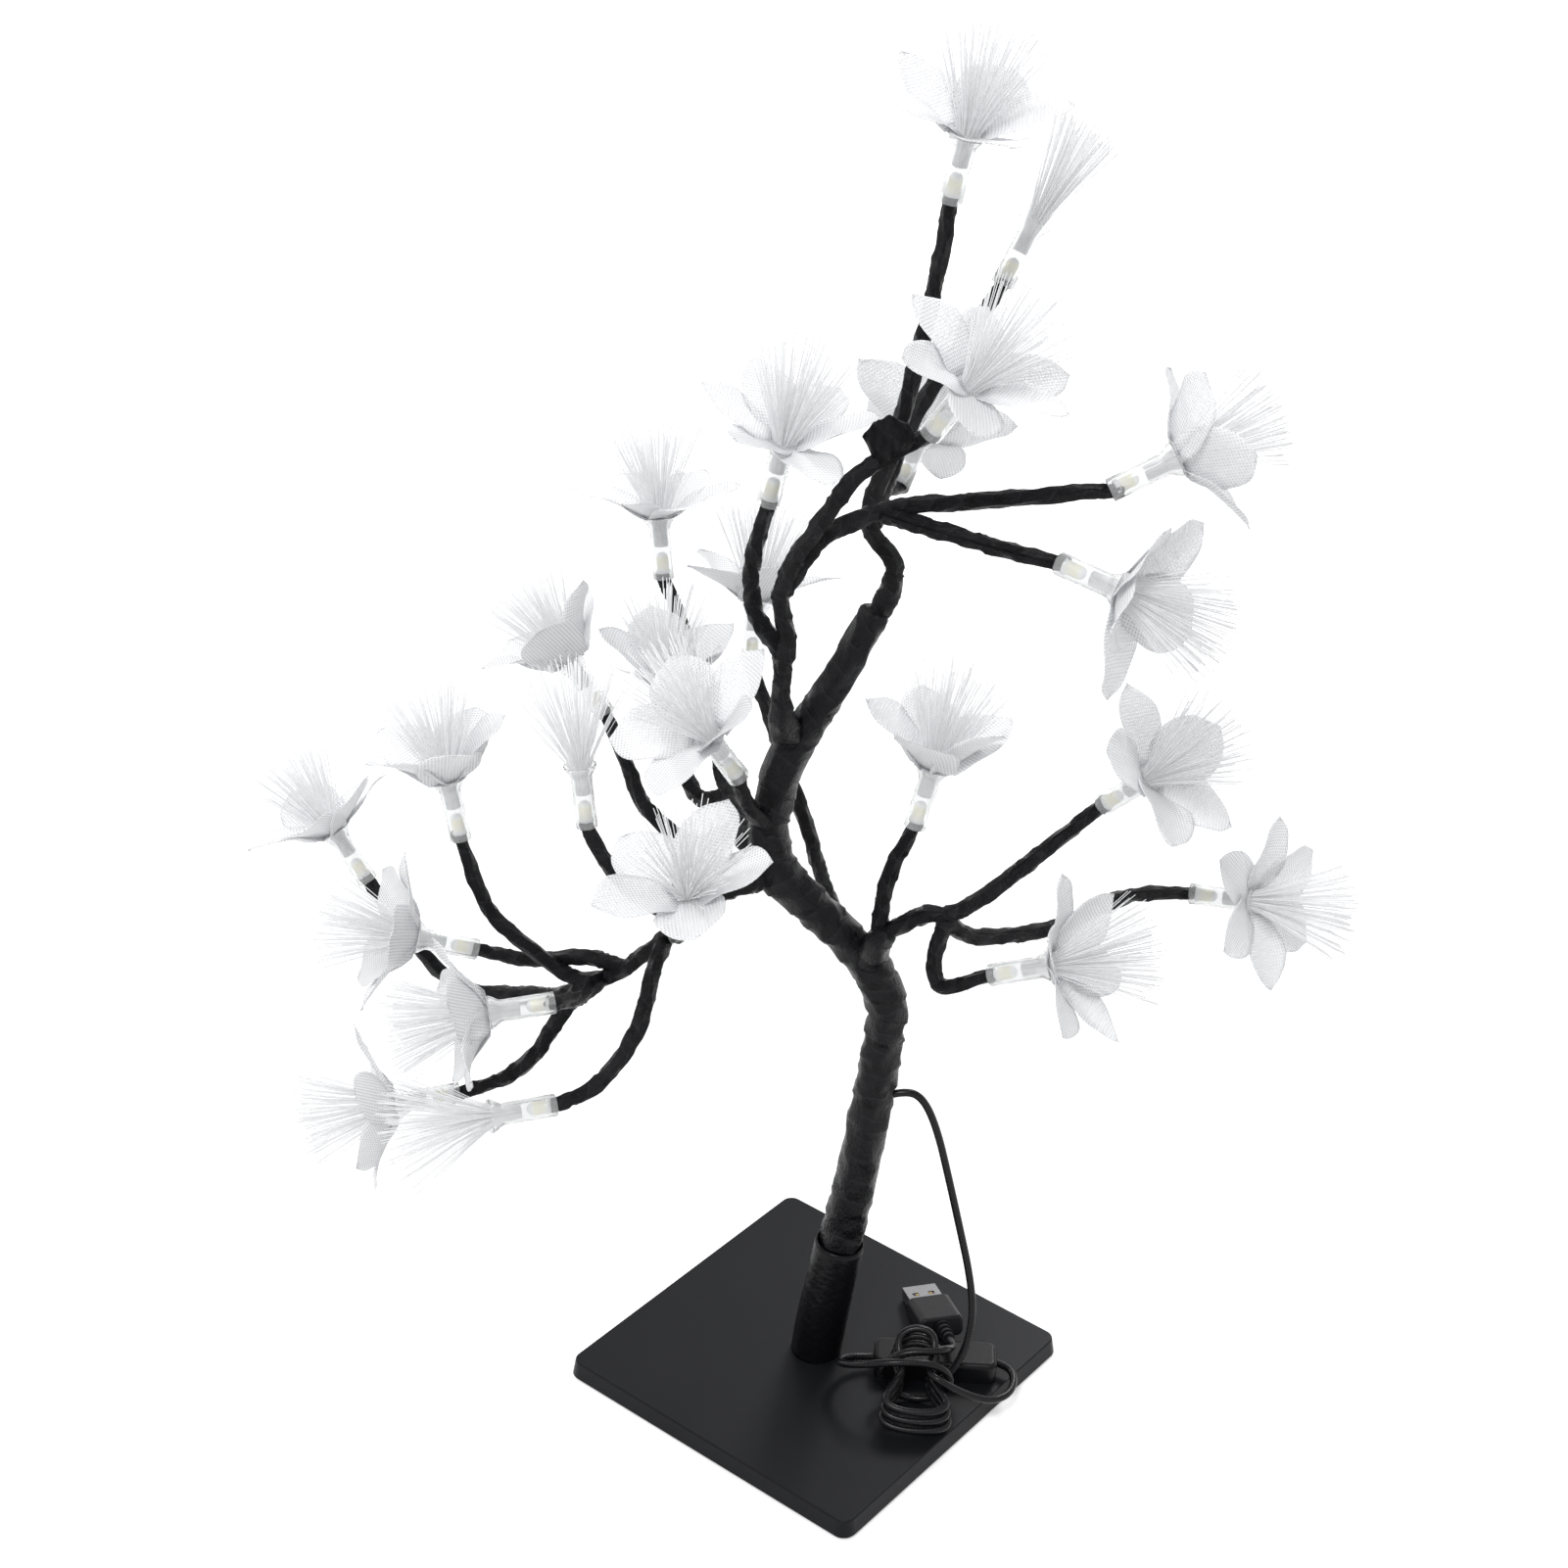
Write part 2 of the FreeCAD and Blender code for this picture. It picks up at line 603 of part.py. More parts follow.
# The lead's free stretches, from point to point.
drop_route = [(18.8, 0, 115.5), (25.6, 0, 118.2), (31.5, 0.5, 114.8), (36.6, 0, 103), (41.5, -1, 84), (46.2, -2.5, 65),
              (50.6, -6, 48), (52.6, -10, 35), (51.3, -14.5, 25), (47.6, -17.8, 17.2), (43, -20.6, 13.2),
              (38.5, -21.6, 12.4), (38.5, -25, 12.5)]
link_route = [(38.5, -25, 23.15), (38.5, -28.9, 23.3), (41.9, -31.6, 22.6), (46.6, -31.2, 19.3), (53, -29.6, 14.8),
              (60, -27.4, 11.3), (66, -23, 10.6), (68.2, -16, 10.8), (66.6, -9.7, 11), (62.2, -8, 11)]
left_route = [(19.8, -8, 11), (15.5, -8.3, 11.3), (10, -11, 12.8), (7.4, -16.8, 16), (10.2, -23, 20.3),
              (17, -27, 24.2), (25, -28.2, 26.7), (34, -27.6, 26.8)]
plug_route = [(34, -22.4, 26.8), (38.8, -22.1, 26.8), (42.8, -21, 27.2), (45.4, -17.2, 24.4), (46.4, -12.7, 21.2),
              (46.3, -8.5, 19.3), (45.4, -5.3, 18.5)]

# The hank: loops pinched at the waist, their near ends on the base, their far ends standing up.
hank_start = 0.0
hank_turns = 3.0
hank_steps = 24
hank_middle = (34.0, -25.0)
hank_waist = 4.5
near_bend = 6.5              # at the waist; the tighter it is, the wider the lobes
far_bend = 9.0
hank_near = 17.0
near_shrink = 0.6
hank_far = 15.0
far_shrink = 1.5
hank_pitch = 3.55
waist_lift = 4.2
far_rise = 9.5
far_rise_more = 1.0

# The tie: the lead's own turn round the hank's waist.
tie_steps = 24
tie_half_width = 11.8
tie_half_height = 9.2
tie_middle_height = 17.6
tie_start = -27.6
tie_advance = 5.2


def hank_point(turn):
    """A point of the hank, turn counted from 0 at its right waist."""
    a = 2 * pi * turn + pi / 2
    reach = hank_far - far_shrink * turn if cos(a) > 0 else hank_near - near_shrink * turn
    lobe = (reach ** 2 / (far_bend if cos(a) > 0 else near_bend) + hank_waist) / 2
    half = hank_waist + lobe * cos(a) ** 2
    x = hank_middle[0] + sin(a) * half
    y = hank_middle[1] + reach * cos(a)
    z = base_height + cord_radius + hank_pitch * turn + waist_lift * sin(a) ** 2
    if cos(a) > 0:
        z += (far_rise + far_rise_more * turn) * cos(a) ** 2
    return vec((x, y, z))


def tie_point(turn):
    a = 2 * pi * turn
    return vec((hank_middle[0] + tie_half_width * sin(a), tie_start + tie_advance * turn,
                tie_middle_height + tie_half_height * cos(a)))


def least_self_gap(points, apart):
    """Least clear distance between stretches of one lead that are far apart along it."""
    best = 1e9
    for i in range(len(points)):
        for j in range(i + apart, len(points)):
            best = min(best, (points[i] - points[j]).Length)
    return best - cord_dia


def wound(name, point_at, first, turns, steps, steady, measure=8):
    count = int(round((turns - first) * steps))
    step = (turns - first) / count
    points = [point_at(first + i * step) for i in range(count + 1)]
    flat = cord_radius / cos(pi / cord_sides)
    fine = [point_at(first + i * step / measure) for i in range(count * measure + 1)]
    ways = tangents(points)
    ways[0] = fine[1] - fine[0]          # the ends are cut square, to meet their neighbours
    ways[-1] = fine[-1] - fine[-2]
    rings = [ring_at(p, t, vec(steady), flat * 0.98, cord_sides) for p, t in zip(points, ways)]
    length = sum((b - a).Length for a, b in zip(fine, fine[1:]))
    print(name, "length %.1f" % length, "least gap to itself %.2f" % least_self_gap(fine, steps * measure // 2))
    save(name, turned(skin(rings)))
    return length


# In-line switch: two half shells, a board, and a push button through the upper one.

def switch_block(inset, z, height):
    block = rounded_block(switch_length - 2 * inset, switch_width - 2 * inset, z, height, max(switch_corner - inset, 0.8))
    block.translate(vec((*switch_place, 0)))
    return block


def make_switch():
    z0 = base_height
    top = z0 + switch_height
    split = z0 + switch_split
    shell = switch_block(0, z0, switch_height)
    upper_rim = [e for e in shell.Edges if abs(e.BoundBox.ZMin - top) < 1e-4 and abs(e.BoundBox.ZMax - top) < 1e-4]
    shell = shell.makeFillet(1.6, upper_rim)
    hollow = switch_block(switch_wall, z0 + switch_wall, switch_height - 2 * switch_wall)
    shell = shell.cut(hollow)
    x, y = switch_place
    below = Part.makeBox(200, 200, split, vec((x - 100, y - 100, 0)))
    lower = shell.common(below)
    upper = shell.cut(below)
    entries = []
    for side in (-1, 1):
        entries.append(Part.makeCylinder(cord_radius + lead_gap, 3 * switch_wall, vec((x + side * switch_length / 2 - side * 2 * switch_wall, y,
                       split - 0.6)), vec((side, 0, 0))))
    hole = Part.makeCylinder(button_radius + button_gap, 3 * switch_wall, vec((x, y, top - 2 * switch_wall)))
    upper = upper.cut(hole)
    for entry in entries:
        upper = upper.cut(entry)
        lower = lower.cut(entry)
    save("switch_upper_shell", turned(upper.Solids[0]))
    save("switch_lower_shell", turned(lower.Solids[0]))
    roof = top - switch_wall
    button = Part.makeCylinder(button_radius, roof - (split - 0.2) + switch_wall + button_proud - button_travel - 0.4,
                               vec((x, y, split - 0.2 + button_travel + 0.4)))
    button_top = max(button.Edges, key=lambda e: e.BoundBox.ZMin)
    button = button.makeFillet(0.5, [button_top])
    flange = Part.makeCylinder(button_radius + button_flange, 0.6, vec((x, y, roof - 0.6 - 0.1)))
    save("switch_button", turned(fused([button, flange])))
    board = Part.makeBox(switch_length - 2 * switch_wall - 6, switch_width - 2 * switch_wall - 1, board_thick,
                         vec((x - switch_length / 2 + switch_wall + 3, y - switch_width / 2 + switch_wall + 0.5,
                              z0 + switch_wall)))
    contact = Part.makeBox(5.5, 5.5, split - 0.2 - z0 - switch_wall - board_thick, vec((x - 2.75, y - 2.75, z0 + switch_wall + board_thick)))
    save("switch_board", turned(fused([board, contact])))


# Plug, lying on the switch and the base: drawn along +Y with the lead at its back end.

plug_back = (43.3, 2.2, 16.6)
plug_lean = -14.0            # degrees, nose down
plug_yaw = 16.0


def placed_plug(shape):
    out = shape.copy()
    out.rotate(vec((0, 0, 0)), vec((1, 0, 0)), plug_lean)
    out.rotate(vec((0, 0, 0)), vec((0, 0, 1)), plug_yaw)
    out.translate(vec(plug_back))
    return turned(out)


def make_plug():
    body = Part.makeBox(plug_width, plug_length, plug_height, vec((-plug_width / 2, 0, -plug_height / 2)))
    long_edges = [e for e in body.Edges if abs(e.BoundBox.YLength - plug_length) < 1e-6]
    body = body.makeFillet(2.4, long_edges)
    back_edges = [e for e in body.Edges if e.BoundBox.YMax < 1e-3]
    body = body.makeFillet(1.2, back_edges)
    save("plug_body", placed_plug(body))
    shell = Part.makeBox(contact_width, contact_length, contact_height, vec((-contact_width / 2, plug_length, -contact_height / 2)))
    inside = Part.makeBox(contact_width - 2 * contact_wall, contact_length + 1, contact_height - 2 * contact_wall,
                          vec((-contact_width / 2 + contact_wall, plug_length - 0.5, -contact_height / 2 + contact_wall)))
    windows = [Part.makeBox(2.2, 2.2, 3 * contact_wall, vec((side * 2.9 - 1.1, plug_length + 4.5, contact_height / 2 - 2 * contact_wall)))
               for side in (-1, 1)]
    shell = shell.cut(inside)
    for window in windows:
        shell = shell.cut(window)
    save("plug_shell", placed_plug(shell))
    tongue = Part.makeBox(contact_width - 2 * contact_wall, contact_length - 0.6, tongue_height,
                          vec((-contact_width / 2 + contact_wall, plug_length, -contact_height / 2 + contact_wall)))
    save("plug_tongue", placed_plug(tongue))
    pads = []
    for i in range(4):
        x = (i - 1.5) * 2.4
        pads.append(placed_plug(Part.makeBox(1.1, 7.0, 0.15, vec((x - 0.55, plug_length + 3.2, -contact_height / 2 + contact_wall + tongue_height)))))
    save("plug_contacts", pads)
    rib = relief_length / (2 * relief_ribs + 1)
    outline = [vec((0, 0, 0)), vec((relief_radius, 0, 0))]
    for i in range(relief_ribs):
        r = relief_radius - 0.35 * i
        outline += [vec((r, -rib * (2 * i + 1), 0)), vec((r - 0.7, -rib * (2 * i + 1), 0)),
                    vec((r - 0.7, -rib * (2 * i + 2), 0)), vec((r - 0.35, -rib * (2 * i + 2), 0))]
    outline += [vec((relief_radius - 0.35 * relief_ribs, -relief_length, 0)), vec((0, -relief_length, 0)), vec((0, 0, 0))]
    relief = Part.Face(Part.makePolygon(outline)).revolve(vec((0, 0, 0)), vec((0, 1, 0)), 360)
    save("plug_relief", placed_plug(relief))
    end = vec((0, -relief_length, 0))
    turn = FreeCAD.Rotation(vec((0, 0, 1)), plug_yaw).multiply(FreeCAD.Rotation(vec((1, 0, 0)), plug_lean))
    return turn.multVec(end) + vec(plug_back), turn.multVec(vec((0, -1, 0)))


def main():
    os.makedirs("parts", exist_ok=True)
    stud_end = make_base()
    collars, holes = [], []
    for limb in limbs.values():
        stub, hollow = make_collar(limb)
        collars.append(stub)
        holes.append(hollow)
    lead_way = vec(drop_route[1]) - vec(drop_route[0])
    holes.append(Part.makeCylinder(cord_radius + lead_gap, lead_way.Length, vec(drop_route[0]), lead_way))
    make_trunk(stud_end, collars + twig_solids(trunk_twigs), holes)
    patterns = {"sleeve": head_sleeve(), "light": head_light(), "tuft": fibre_tuft()}
    for name, limb in limbs.items():
        make_limb(name, limb)
        make_heads(name, limb, patterns)
    make_heads("trunk", trunk_twigs, patterns)
    make_switch()
    end, way = make_plug()
    print("plug lead end", [round(c, 2) for c in end], "way", [round(c, 3) for c in way])
    print("hank start", [round(c, 2) for c in hank_point(hank_start)], "end", [round(c, 2) for c in hank_point(hank_turns)])
    total = cord_tube("cord_drop", drop_route)
    total += wound("cord_hank", hank_point, hank_start, hank_turns, hank_steps, (0, 0, 1))
    total += cord_tube("cord_link", link_route)
    second = cord_tube("cord_left_loop", left_route)
    second += wound("cord_tie", tie_point, 0, 1, tie_steps, (0, 1, 0))
    second += cord_tube("cord_plug_end", plug_route)
    print("lead to the switch %.0f, switch to plug %.0f" % (total, second))


main()
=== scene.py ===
import bpy
import numpy as np
from mathutils import Matrix, Vector


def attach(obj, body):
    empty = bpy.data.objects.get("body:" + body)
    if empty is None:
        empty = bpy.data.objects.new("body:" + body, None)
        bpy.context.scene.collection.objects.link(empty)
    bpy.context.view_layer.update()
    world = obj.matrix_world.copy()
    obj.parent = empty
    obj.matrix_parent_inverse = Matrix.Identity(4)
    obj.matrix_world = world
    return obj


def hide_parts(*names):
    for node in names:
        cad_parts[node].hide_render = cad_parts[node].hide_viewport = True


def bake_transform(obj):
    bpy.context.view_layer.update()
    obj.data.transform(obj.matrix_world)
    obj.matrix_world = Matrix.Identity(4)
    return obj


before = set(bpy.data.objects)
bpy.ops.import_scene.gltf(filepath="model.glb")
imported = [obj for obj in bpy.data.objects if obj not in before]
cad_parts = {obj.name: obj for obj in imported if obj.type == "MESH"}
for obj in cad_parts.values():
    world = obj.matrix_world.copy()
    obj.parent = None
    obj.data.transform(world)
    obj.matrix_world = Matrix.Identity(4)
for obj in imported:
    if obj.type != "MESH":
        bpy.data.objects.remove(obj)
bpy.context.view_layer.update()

mm = 0.001

# The tree and its lead are drawn in the tree's own plane, in millimetres: across, behind, up.
# That plane stands treeTurn degrees round from the base's front edge.
treeTurn = np.radians(36.7)


def unit(v):  # each row divided by its own length
    v = np.asarray(v, float)
    return v / np.maximum(np.linalg.norm(v, axis=-1, keepdims=True), 1e-12)


def inLamp(points):  # tree plane in mm -> lamp frame in metres: a turn about Z, then the unit
    p = np.asarray(points, float)
    c, s = np.cos(treeTurn), np.sin(treeTurn)
    return np.stack([p[..., 0] * c - p[..., 1] * s, p[..., 0] * s + p[..., 1] * c, p[..., 2]], -1) * mm


def smoothPath(points, perSpan):  # Catmull-Rom: each span is a cubic through its two ends
    p = np.asarray(points, float)
    p = np.vstack([2 * p[0] - p[1], p, 2 * p[-1] - p[-2]])
    t = np.linspace(0, 1, perSpan, endpoint=False)[None, :, None]
    a, b, c, d = (p[k:len(p) - 3 + k][:, None, :] for k in range(4))
    spans = 0.5 * (2 * b + (c - a) * t + (2 * a - 5 * b + 4 * c - d) * t ** 2
                   + (3 * b - a - 3 * c + d) * t ** 3)
    return np.vstack([spans.reshape(-1, 3), p[-2]])


def spread(values, perSpan):  # one value per route point -> one per path point, by straight lines
    values = np.asarray(values, float)
    at = np.linspace(0, len(values) - 1, (len(values) - 1) * perSpan + 1)
    return np.interp(at, np.arange(len(values)), values)


def alongOf(path):  # distance from the start to each point
    return np.concatenate([[0], np.cumsum(np.linalg.norm(np.diff(path, axis=0), axis=1))])


def framesOf(path):  # two sides square to the path at each point: the first is the tangent crossed
    # with the normal of the plane that the whole path lies nearest to
    tangent = unit(np.gradient(path, axis=0))
    normal = np.linalg.svd(path - path.mean(axis=0))[2][2]
    normal = normal * np.sign(normal[np.argmax(np.abs(normal))])
    side = unit(np.cross(tangent, normal))
    return side, np.cross(tangent, side)


def ringsOn(path, side, up, r, a):  # at each point: centre + side * r cos a + up * r sin a
    rings = (path[:, None, :] + side[:, None, :] * (r * np.cos(a))[..., None]
             + up[:, None, :] * (r * np.sin(a))[..., None])
    return rings.reshape(-1, 3)


def gridFaces(rows, cols, closed=True):  # quads of a grid; each row closes on itself if closed
    r = np.arange(rows - 1)[:, None]
    c = np.arange(cols if closed else cols - 1)[None, :]
    n = (c + 1) % cols
    quads = np.stack(np.broadcast_arrays(r * cols + c, r * cols + n, (r + 1) * cols + n,
                                         (r + 1) * cols + c), -1)
    return quads.reshape(-1, 4)


def endFans(rows, sides):  # triangles from the first and last ring to a middle point for each,
    # which are the two points that follow the rings
    i = np.arange(sides)
    n = (i + 1) % sides
    last, count = (rows - 1) * sides, rows * sides
    return np.vstack([np.stack([n, i, np.full(sides, count)], -1),
                      np.stack([last + i, last + n, np.full(sides, count + 1)], -1)])


def lastToFirst(rows, sides):  # quads that join the last ring to the first
    i = np.arange(sides)
    n = (i + 1) % sides
    last = (rows - 1) * sides
    return np.stack([last + i, last + n, n, i], -1)


def addMesh(name, part, material):  # part = points in the tree's plane, quads, triangles, pattern map
    points, quads, tris, uv = part
    mesh = bpy.data.meshes.new(name)
    mesh.from_pydata(inLamp(points).tolist(), [], quads.tolist() + tris.tolist())
    corner = np.empty(len(mesh.loops), np.int32)
    mesh.loops.foreach_get("vertex_index", corner)
    layer = mesh.uv_layers.new(name="pattern")
    layer.data.foreach_set("uv", np.asarray(uv, np.float32)[corner].ravel())
    mesh.shade_smooth()
    mesh.materials.append(material)
    obj = bpy.data.objects.new(name, mesh)
    bpy.context.scene.collection.objects.link(obj)
    return obj


def joined(parts):  # several parts put after each other: each one's faces count on from the last's
    verts, quads, tris, uvs, count = [], [], [], [], 0
    for v, q, t, uv in parts:
        verts.append(v)
        quads.append(q + count)
        tris.append(t + count)
        uvs.append(uv)
        count += len(v)
    return np.vstack(verts), np.vstack(quads), np.vstack(tris), np.vstack(uvs)


noTris = np.zeros((0, 3), int)


def newMaterial(name):  # a material with its nodes, its links and its shader
    material = bpy.data.materials.new(name)
    material.use_nodes = True
    nodes = material.node_tree.nodes
    return material, nodes, material.node_tree.links, nodes["Principled BSDF"]


def newGroup(name, inputs, outputs):  # inputs are (label, kind, value), outputs (label, kind)
    group = bpy.data.node_groups.new(name, "ShaderNodeTree")
    for label, kind, value in inputs:
        group.interface.new_socket(name=label, in_out="INPUT", socket_type=kind).default_value = value
    for label, kind in outputs:
        group.interface.new_socket(name=label, in_out="OUTPUT", socket_type=kind)
    into, out = group.nodes.new("NodeGroupInput"), group.nodes.new("NodeGroupOutput")
    return group, group.nodes, group.links, into, out


def setInputs(node, **values):  # fixed values of a node: Fine_Scale stands for its "Fine Scale"
    for label, value in values.items():
        node.inputs[label.replace("_", " ")].default_value = value
    return node


def mathNode(nodes, links, kind, a, b=None):  # one arithmetic step on sockets or numbers
    node = nodes.new("ShaderNodeMath")
    node.operation = kind
    for k, value in enumerate([a, b]):
        if value is None:
            continue
        if isinstance(value, (int, float)):
            node.inputs[k].default_value = value
        else:
            links.new(value, node.inputs[k])
    return node.outputs[0]


def rgba(colour):  # a grey number or three values, with full alpha after them
    return (*np.broadcast_to(colour, 3).tolist(), 1.0)


def mixColour(nodes, links, factor, dark, light):  # dark + factor * (light - dark)
    node = nodes.new("ShaderNodeMix")
    node.data_type = "RGBA"
    links.new(factor, node.inputs["Factor"])
    for socket, value in ((node.inputs[6], dark), (node.inputs[7], light)):  # its colours A and B
        if isinstance(value, tuple):
            socket.default_value = rgba(value)
        else:
            links.new(value, socket)
    return node.outputs[2]


def rampOf(nodes, links, socket, *stops):  # straight lines between (position, grey or colour) stops
    ramp = nodes.new("ShaderNodeValToRGB")
    elements = ramp.color_ramp.elements
    elements[0].position, elements[0].color = stops[0][0], rgba(stops[0][1])
    elements[1].position, elements[1].color = stops[-1][0], rgba(stops[-1][1])
    for position, colour in stops[1:-1]:
        elements.new(position).color = rgba(colour)
    links.new(socket, ramp.inputs["Fac"])
    return ramp.outputs["Color"]


def mapRange(nodes, links, socket, low, high, start=0.0, end=1.0):  # low at start, high at end
    node = setInputs(nodes.new("ShaderNodeMapRange"), From_Min=start, From_Max=end,
                     To_Min=low, To_Max=high)
    links.new(socket, node.inputs["Value"])
    return node.outputs["Result"]


def noiseOf(nodes, links, vector, scale, detail):  # noise of a vector; scale is a number or a socket
    noise = setInputs(nodes.new("ShaderNodeTexNoise"), Detail=detail)
    links.new(vector, noise.inputs["Vector"])
    if isinstance(scale, float):
        noise.inputs["Scale"].default_value = scale
    else:
        links.new(scale, noise.inputs["Scale"])
    return noise


def patternOf(nodes, links):  # the pattern map as a vector, and its U and V
    uv = nodes.new("ShaderNodeUVMap")
    uv.uv_map = "pattern"
    split = nodes.new("ShaderNodeSeparateXYZ")
    links.new(uv.outputs["UV"], split.inputs[0])
    return uv.outputs["UV"], split.outputs["X"], split.outputs["Y"]


def seenRays(nodes, links):  # 1 for camera, glossy and transmission rays, 0 for all others
    path = nodes.new("ShaderNodeLightPath")
    mirrored = mathNode(nodes, links, "MAXIMUM", path.outputs["Is Glossy Ray"],
                        path.outputs["Is Transmission Ray"])
    return mathNode(nodes, links, "MAXIMUM", path.outputs["Is Camera Ray"], mirrored)


def makeGrainGroup():  # fine speckle and slow drift: two noises of the place on the piece
    group, nodes, links, into, out = newGroup(
        "surfaceGrain",
        [("Fine Scale", "NodeSocketFloat", 900.0), ("Drift Scale", "NodeSocketFloat", 30.0)],
        [("Fine", "NodeSocketFloat"), ("Drift", "NodeSocketFloat")])
    place = nodes.new("ShaderNodeTexCoord").outputs["Object"]
    for label, detail in (("Fine", 3.0), ("Drift", 2.0)):
        noise = noiseOf(nodes, links, place, into.outputs[label + " Scale"], detail)
        links.new(noise.outputs["Fac"], out.inputs[label])
    return group


# How the tape is wound, in millimetres. Its look and its shape both use these.
wrap = {
    "lapWidth": 8.5, "lapRise": 0.46, "lapSink": 0.4, "lapWander": 0.12, "wanderLength": 5,
    "lump": 0.55, "lumpLength": 5.5, "lumpShare": 0.33, "lumpMiddle": 0.5, "lumpThird": 0.6,
    "crease": 0.6, "creaseLift": 0.6, "creaseTurns": 2.5, "creaseLength": 11, "creaseShift": 1.3,
    "endLength": 1.2, "endRound": 0.14, "sides": 40, "tipSides": 24,
}
tapeLook = {
    "wanderScale": 70.0, "wander": 0.9, "edgePower": 14.0, "crepeScale": 1.0, "crepeAcross": 46.0,
    "crepeAlong": 0.42, "crepeStep": 3.7, "crepeRough": 0.62, "crepeHeight": 0.55,
    "foldScale": 120.0, "foldHeight": 0.9, "lapHeight": 0.5, "dustScale": 24.0,
    # dark and light are the painted shade and lit colours that follow the tape's height; the third
    # colour is a painted highlight on each lap's edge
    "dark": (0.0011, 0.0011, 0.0015), "light": (0.0046, 0.0046, 0.0060), "paintedEdgeHighlight": (0.014, 0.014, 0.017),
    "rough": ((0.35, 0.16), (0.7, 0.34)), "specular": 0.13, "bump": 0.8, "depth": 0.0016,
}


def makeTapeGroup():
    # wound tape: the pattern map's U counts turns round the wire and V is millimetres along it.
    # A lap is a saw-tooth of V / lap width + U; crepe is fine noise drawn out along the tape.
    group, nodes, links, into, out = newGroup(
        "woundTape",
        [("Lap Width", "NodeSocketFloat", 9.0), ("Crepe Scale", "NodeSocketFloat", 1.0)],
        [("Lap", "NodeSocketFloat"), ("Edge", "NodeSocketFloat"), ("Height", "NodeSocketFloat"),
         ("Dust", "NodeSocketFloat")])
    look = tapeLook
    _, u, v = patternOf(nodes, links)
    place = nodes.new("ShaderNodeTexCoord").outputs["Object"]
    wander = noiseOf(nodes, links, place, look["wanderScale"], 2.0)
    turns = mathNode(nodes, links, "DIVIDE", v, into.outputs["Lap Width"])
    turns = mathNode(nodes, links, "ADD", turns, u)
    turns = mathNode(nodes, links, "ADD", turns,
                     mathNode(nodes, links, "MULTIPLY", wander.outputs["Fac"], look["wander"]))
    lap = mathNode(nodes, links, "FRACT", turns)
    links.new(lap, out.inputs["Lap"])
    # Edge is high near each lap's end, where the tape material paints a highlight
    links.new(mathNode(nodes, links, "POWER", lap, look["edgePower"]), out.inputs["Edge"])
    stretch = nodes.new("ShaderNodeCombineXYZ")  # wrinkles run across the tape, so along the wire
    for axis, socket, amount in (("X", u, look["crepeAcross"]), ("Y", v, look["crepeAlong"]),
                                 ("Z", mathNode(nodes, links, "FLOOR", turns), look["crepeStep"])):
        links.new(mathNode(nodes, links, "MULTIPLY", socket, amount), stretch.inputs[axis])
    crepe = noiseOf(nodes, links, stretch.outputs[0], into.outputs["Crepe Scale"], 4.0)
    crepe.inputs["Roughness"].default_value = look["crepeRough"]
    fold = noiseOf(nodes, links, place, look["foldScale"], 1.5)
    height = mathNode(nodes, links, "ADD",
                      mathNode(nodes, links, "MULTIPLY", crepe.outputs["Fac"], look["crepeHeight"]),
                      mathNode(nodes, links, "MULTIPLY", fold.outputs["Fac"], look["foldHeight"]))
    height = mathNode(nodes, links, "ADD", height,
                      mathNode(nodes, links, "MULTIPLY", lap, look["lapHeight"]))
    links.new(height, out.inputs["Height"])
    dust = noiseOf(nodes, links, place, look["dustScale"], 6.0)
    links.new(dust.outputs["Fac"], out.inputs["Dust"])
    return group


def makeWeaveGroup():
    # woven gauze from the pattern map, in millimetres: two families of threads, each a sine of the
    # distance over the thread pitch, so that a hole is where both are low
    group, nodes, links, into, out = newGroup(
        "gauzeWeave", [("Pitch", "NodeSocketFloat", 0.62), ("Thread", "NodeSocketFloat", 0.5)],
        [("Cover", "NodeSocketFloat"), ("Height", "NodeSocketFloat"), ("Slub", "NodeSocketFloat")])
    pattern, u, v = patternOf(nodes, links)
    waves = []
    for socket in (u, v):
        turn = mathNode(nodes, links, "DIVIDE", socket, into.outputs["Pitch"])
        wave = mathNode(nodes, links, "SINE", mathNode(nodes, links, "MULTIPLY", turn, 2 * np.pi))
        waves.append(mathNode(nodes, links, "MULTIPLY", mathNode(nodes, links, "ADD", wave, 1.0), 0.5))
    cover = mathNode(nodes, links, "MAXIMUM", waves[0], waves[1])
    links.new(mathNode(nodes, links, "POWER", cover, into.outputs["Thread"]), out.inputs["Cover"])
    links.new(mathNode(nodes, links, "ADD", waves[0], waves[1]), out.inputs["Height"])
    slub = noiseOf(nodes, links, pattern, 0.9, 3.0)
    links.new(slub.outputs["Fac"], out.inputs["Slub"])
    return group


grainGroup, tapeGroup, weaveGroup = makeGrainGroup(), makeTapeGroup(), makeWeaveGroup()


def useGroup(nodes, group, **values):  # one shared effect in a material, with its own values
    node = nodes.new("ShaderNodeGroup")
    node.node_tree = group
    return setInputs(node, **values)


def addBump(nodes, links, shader, height, strength, distance):  # height tilts the shader's normal
    bump = nodes.new("ShaderNodeBump")
    bump.inputs["Strength"].default_value = strength
    bump.inputs["Distance"].default_value = distance
    links.new(height, bump.inputs["Height"])
    links.new(bump.outputs["Normal"], shader.inputs["Normal"])


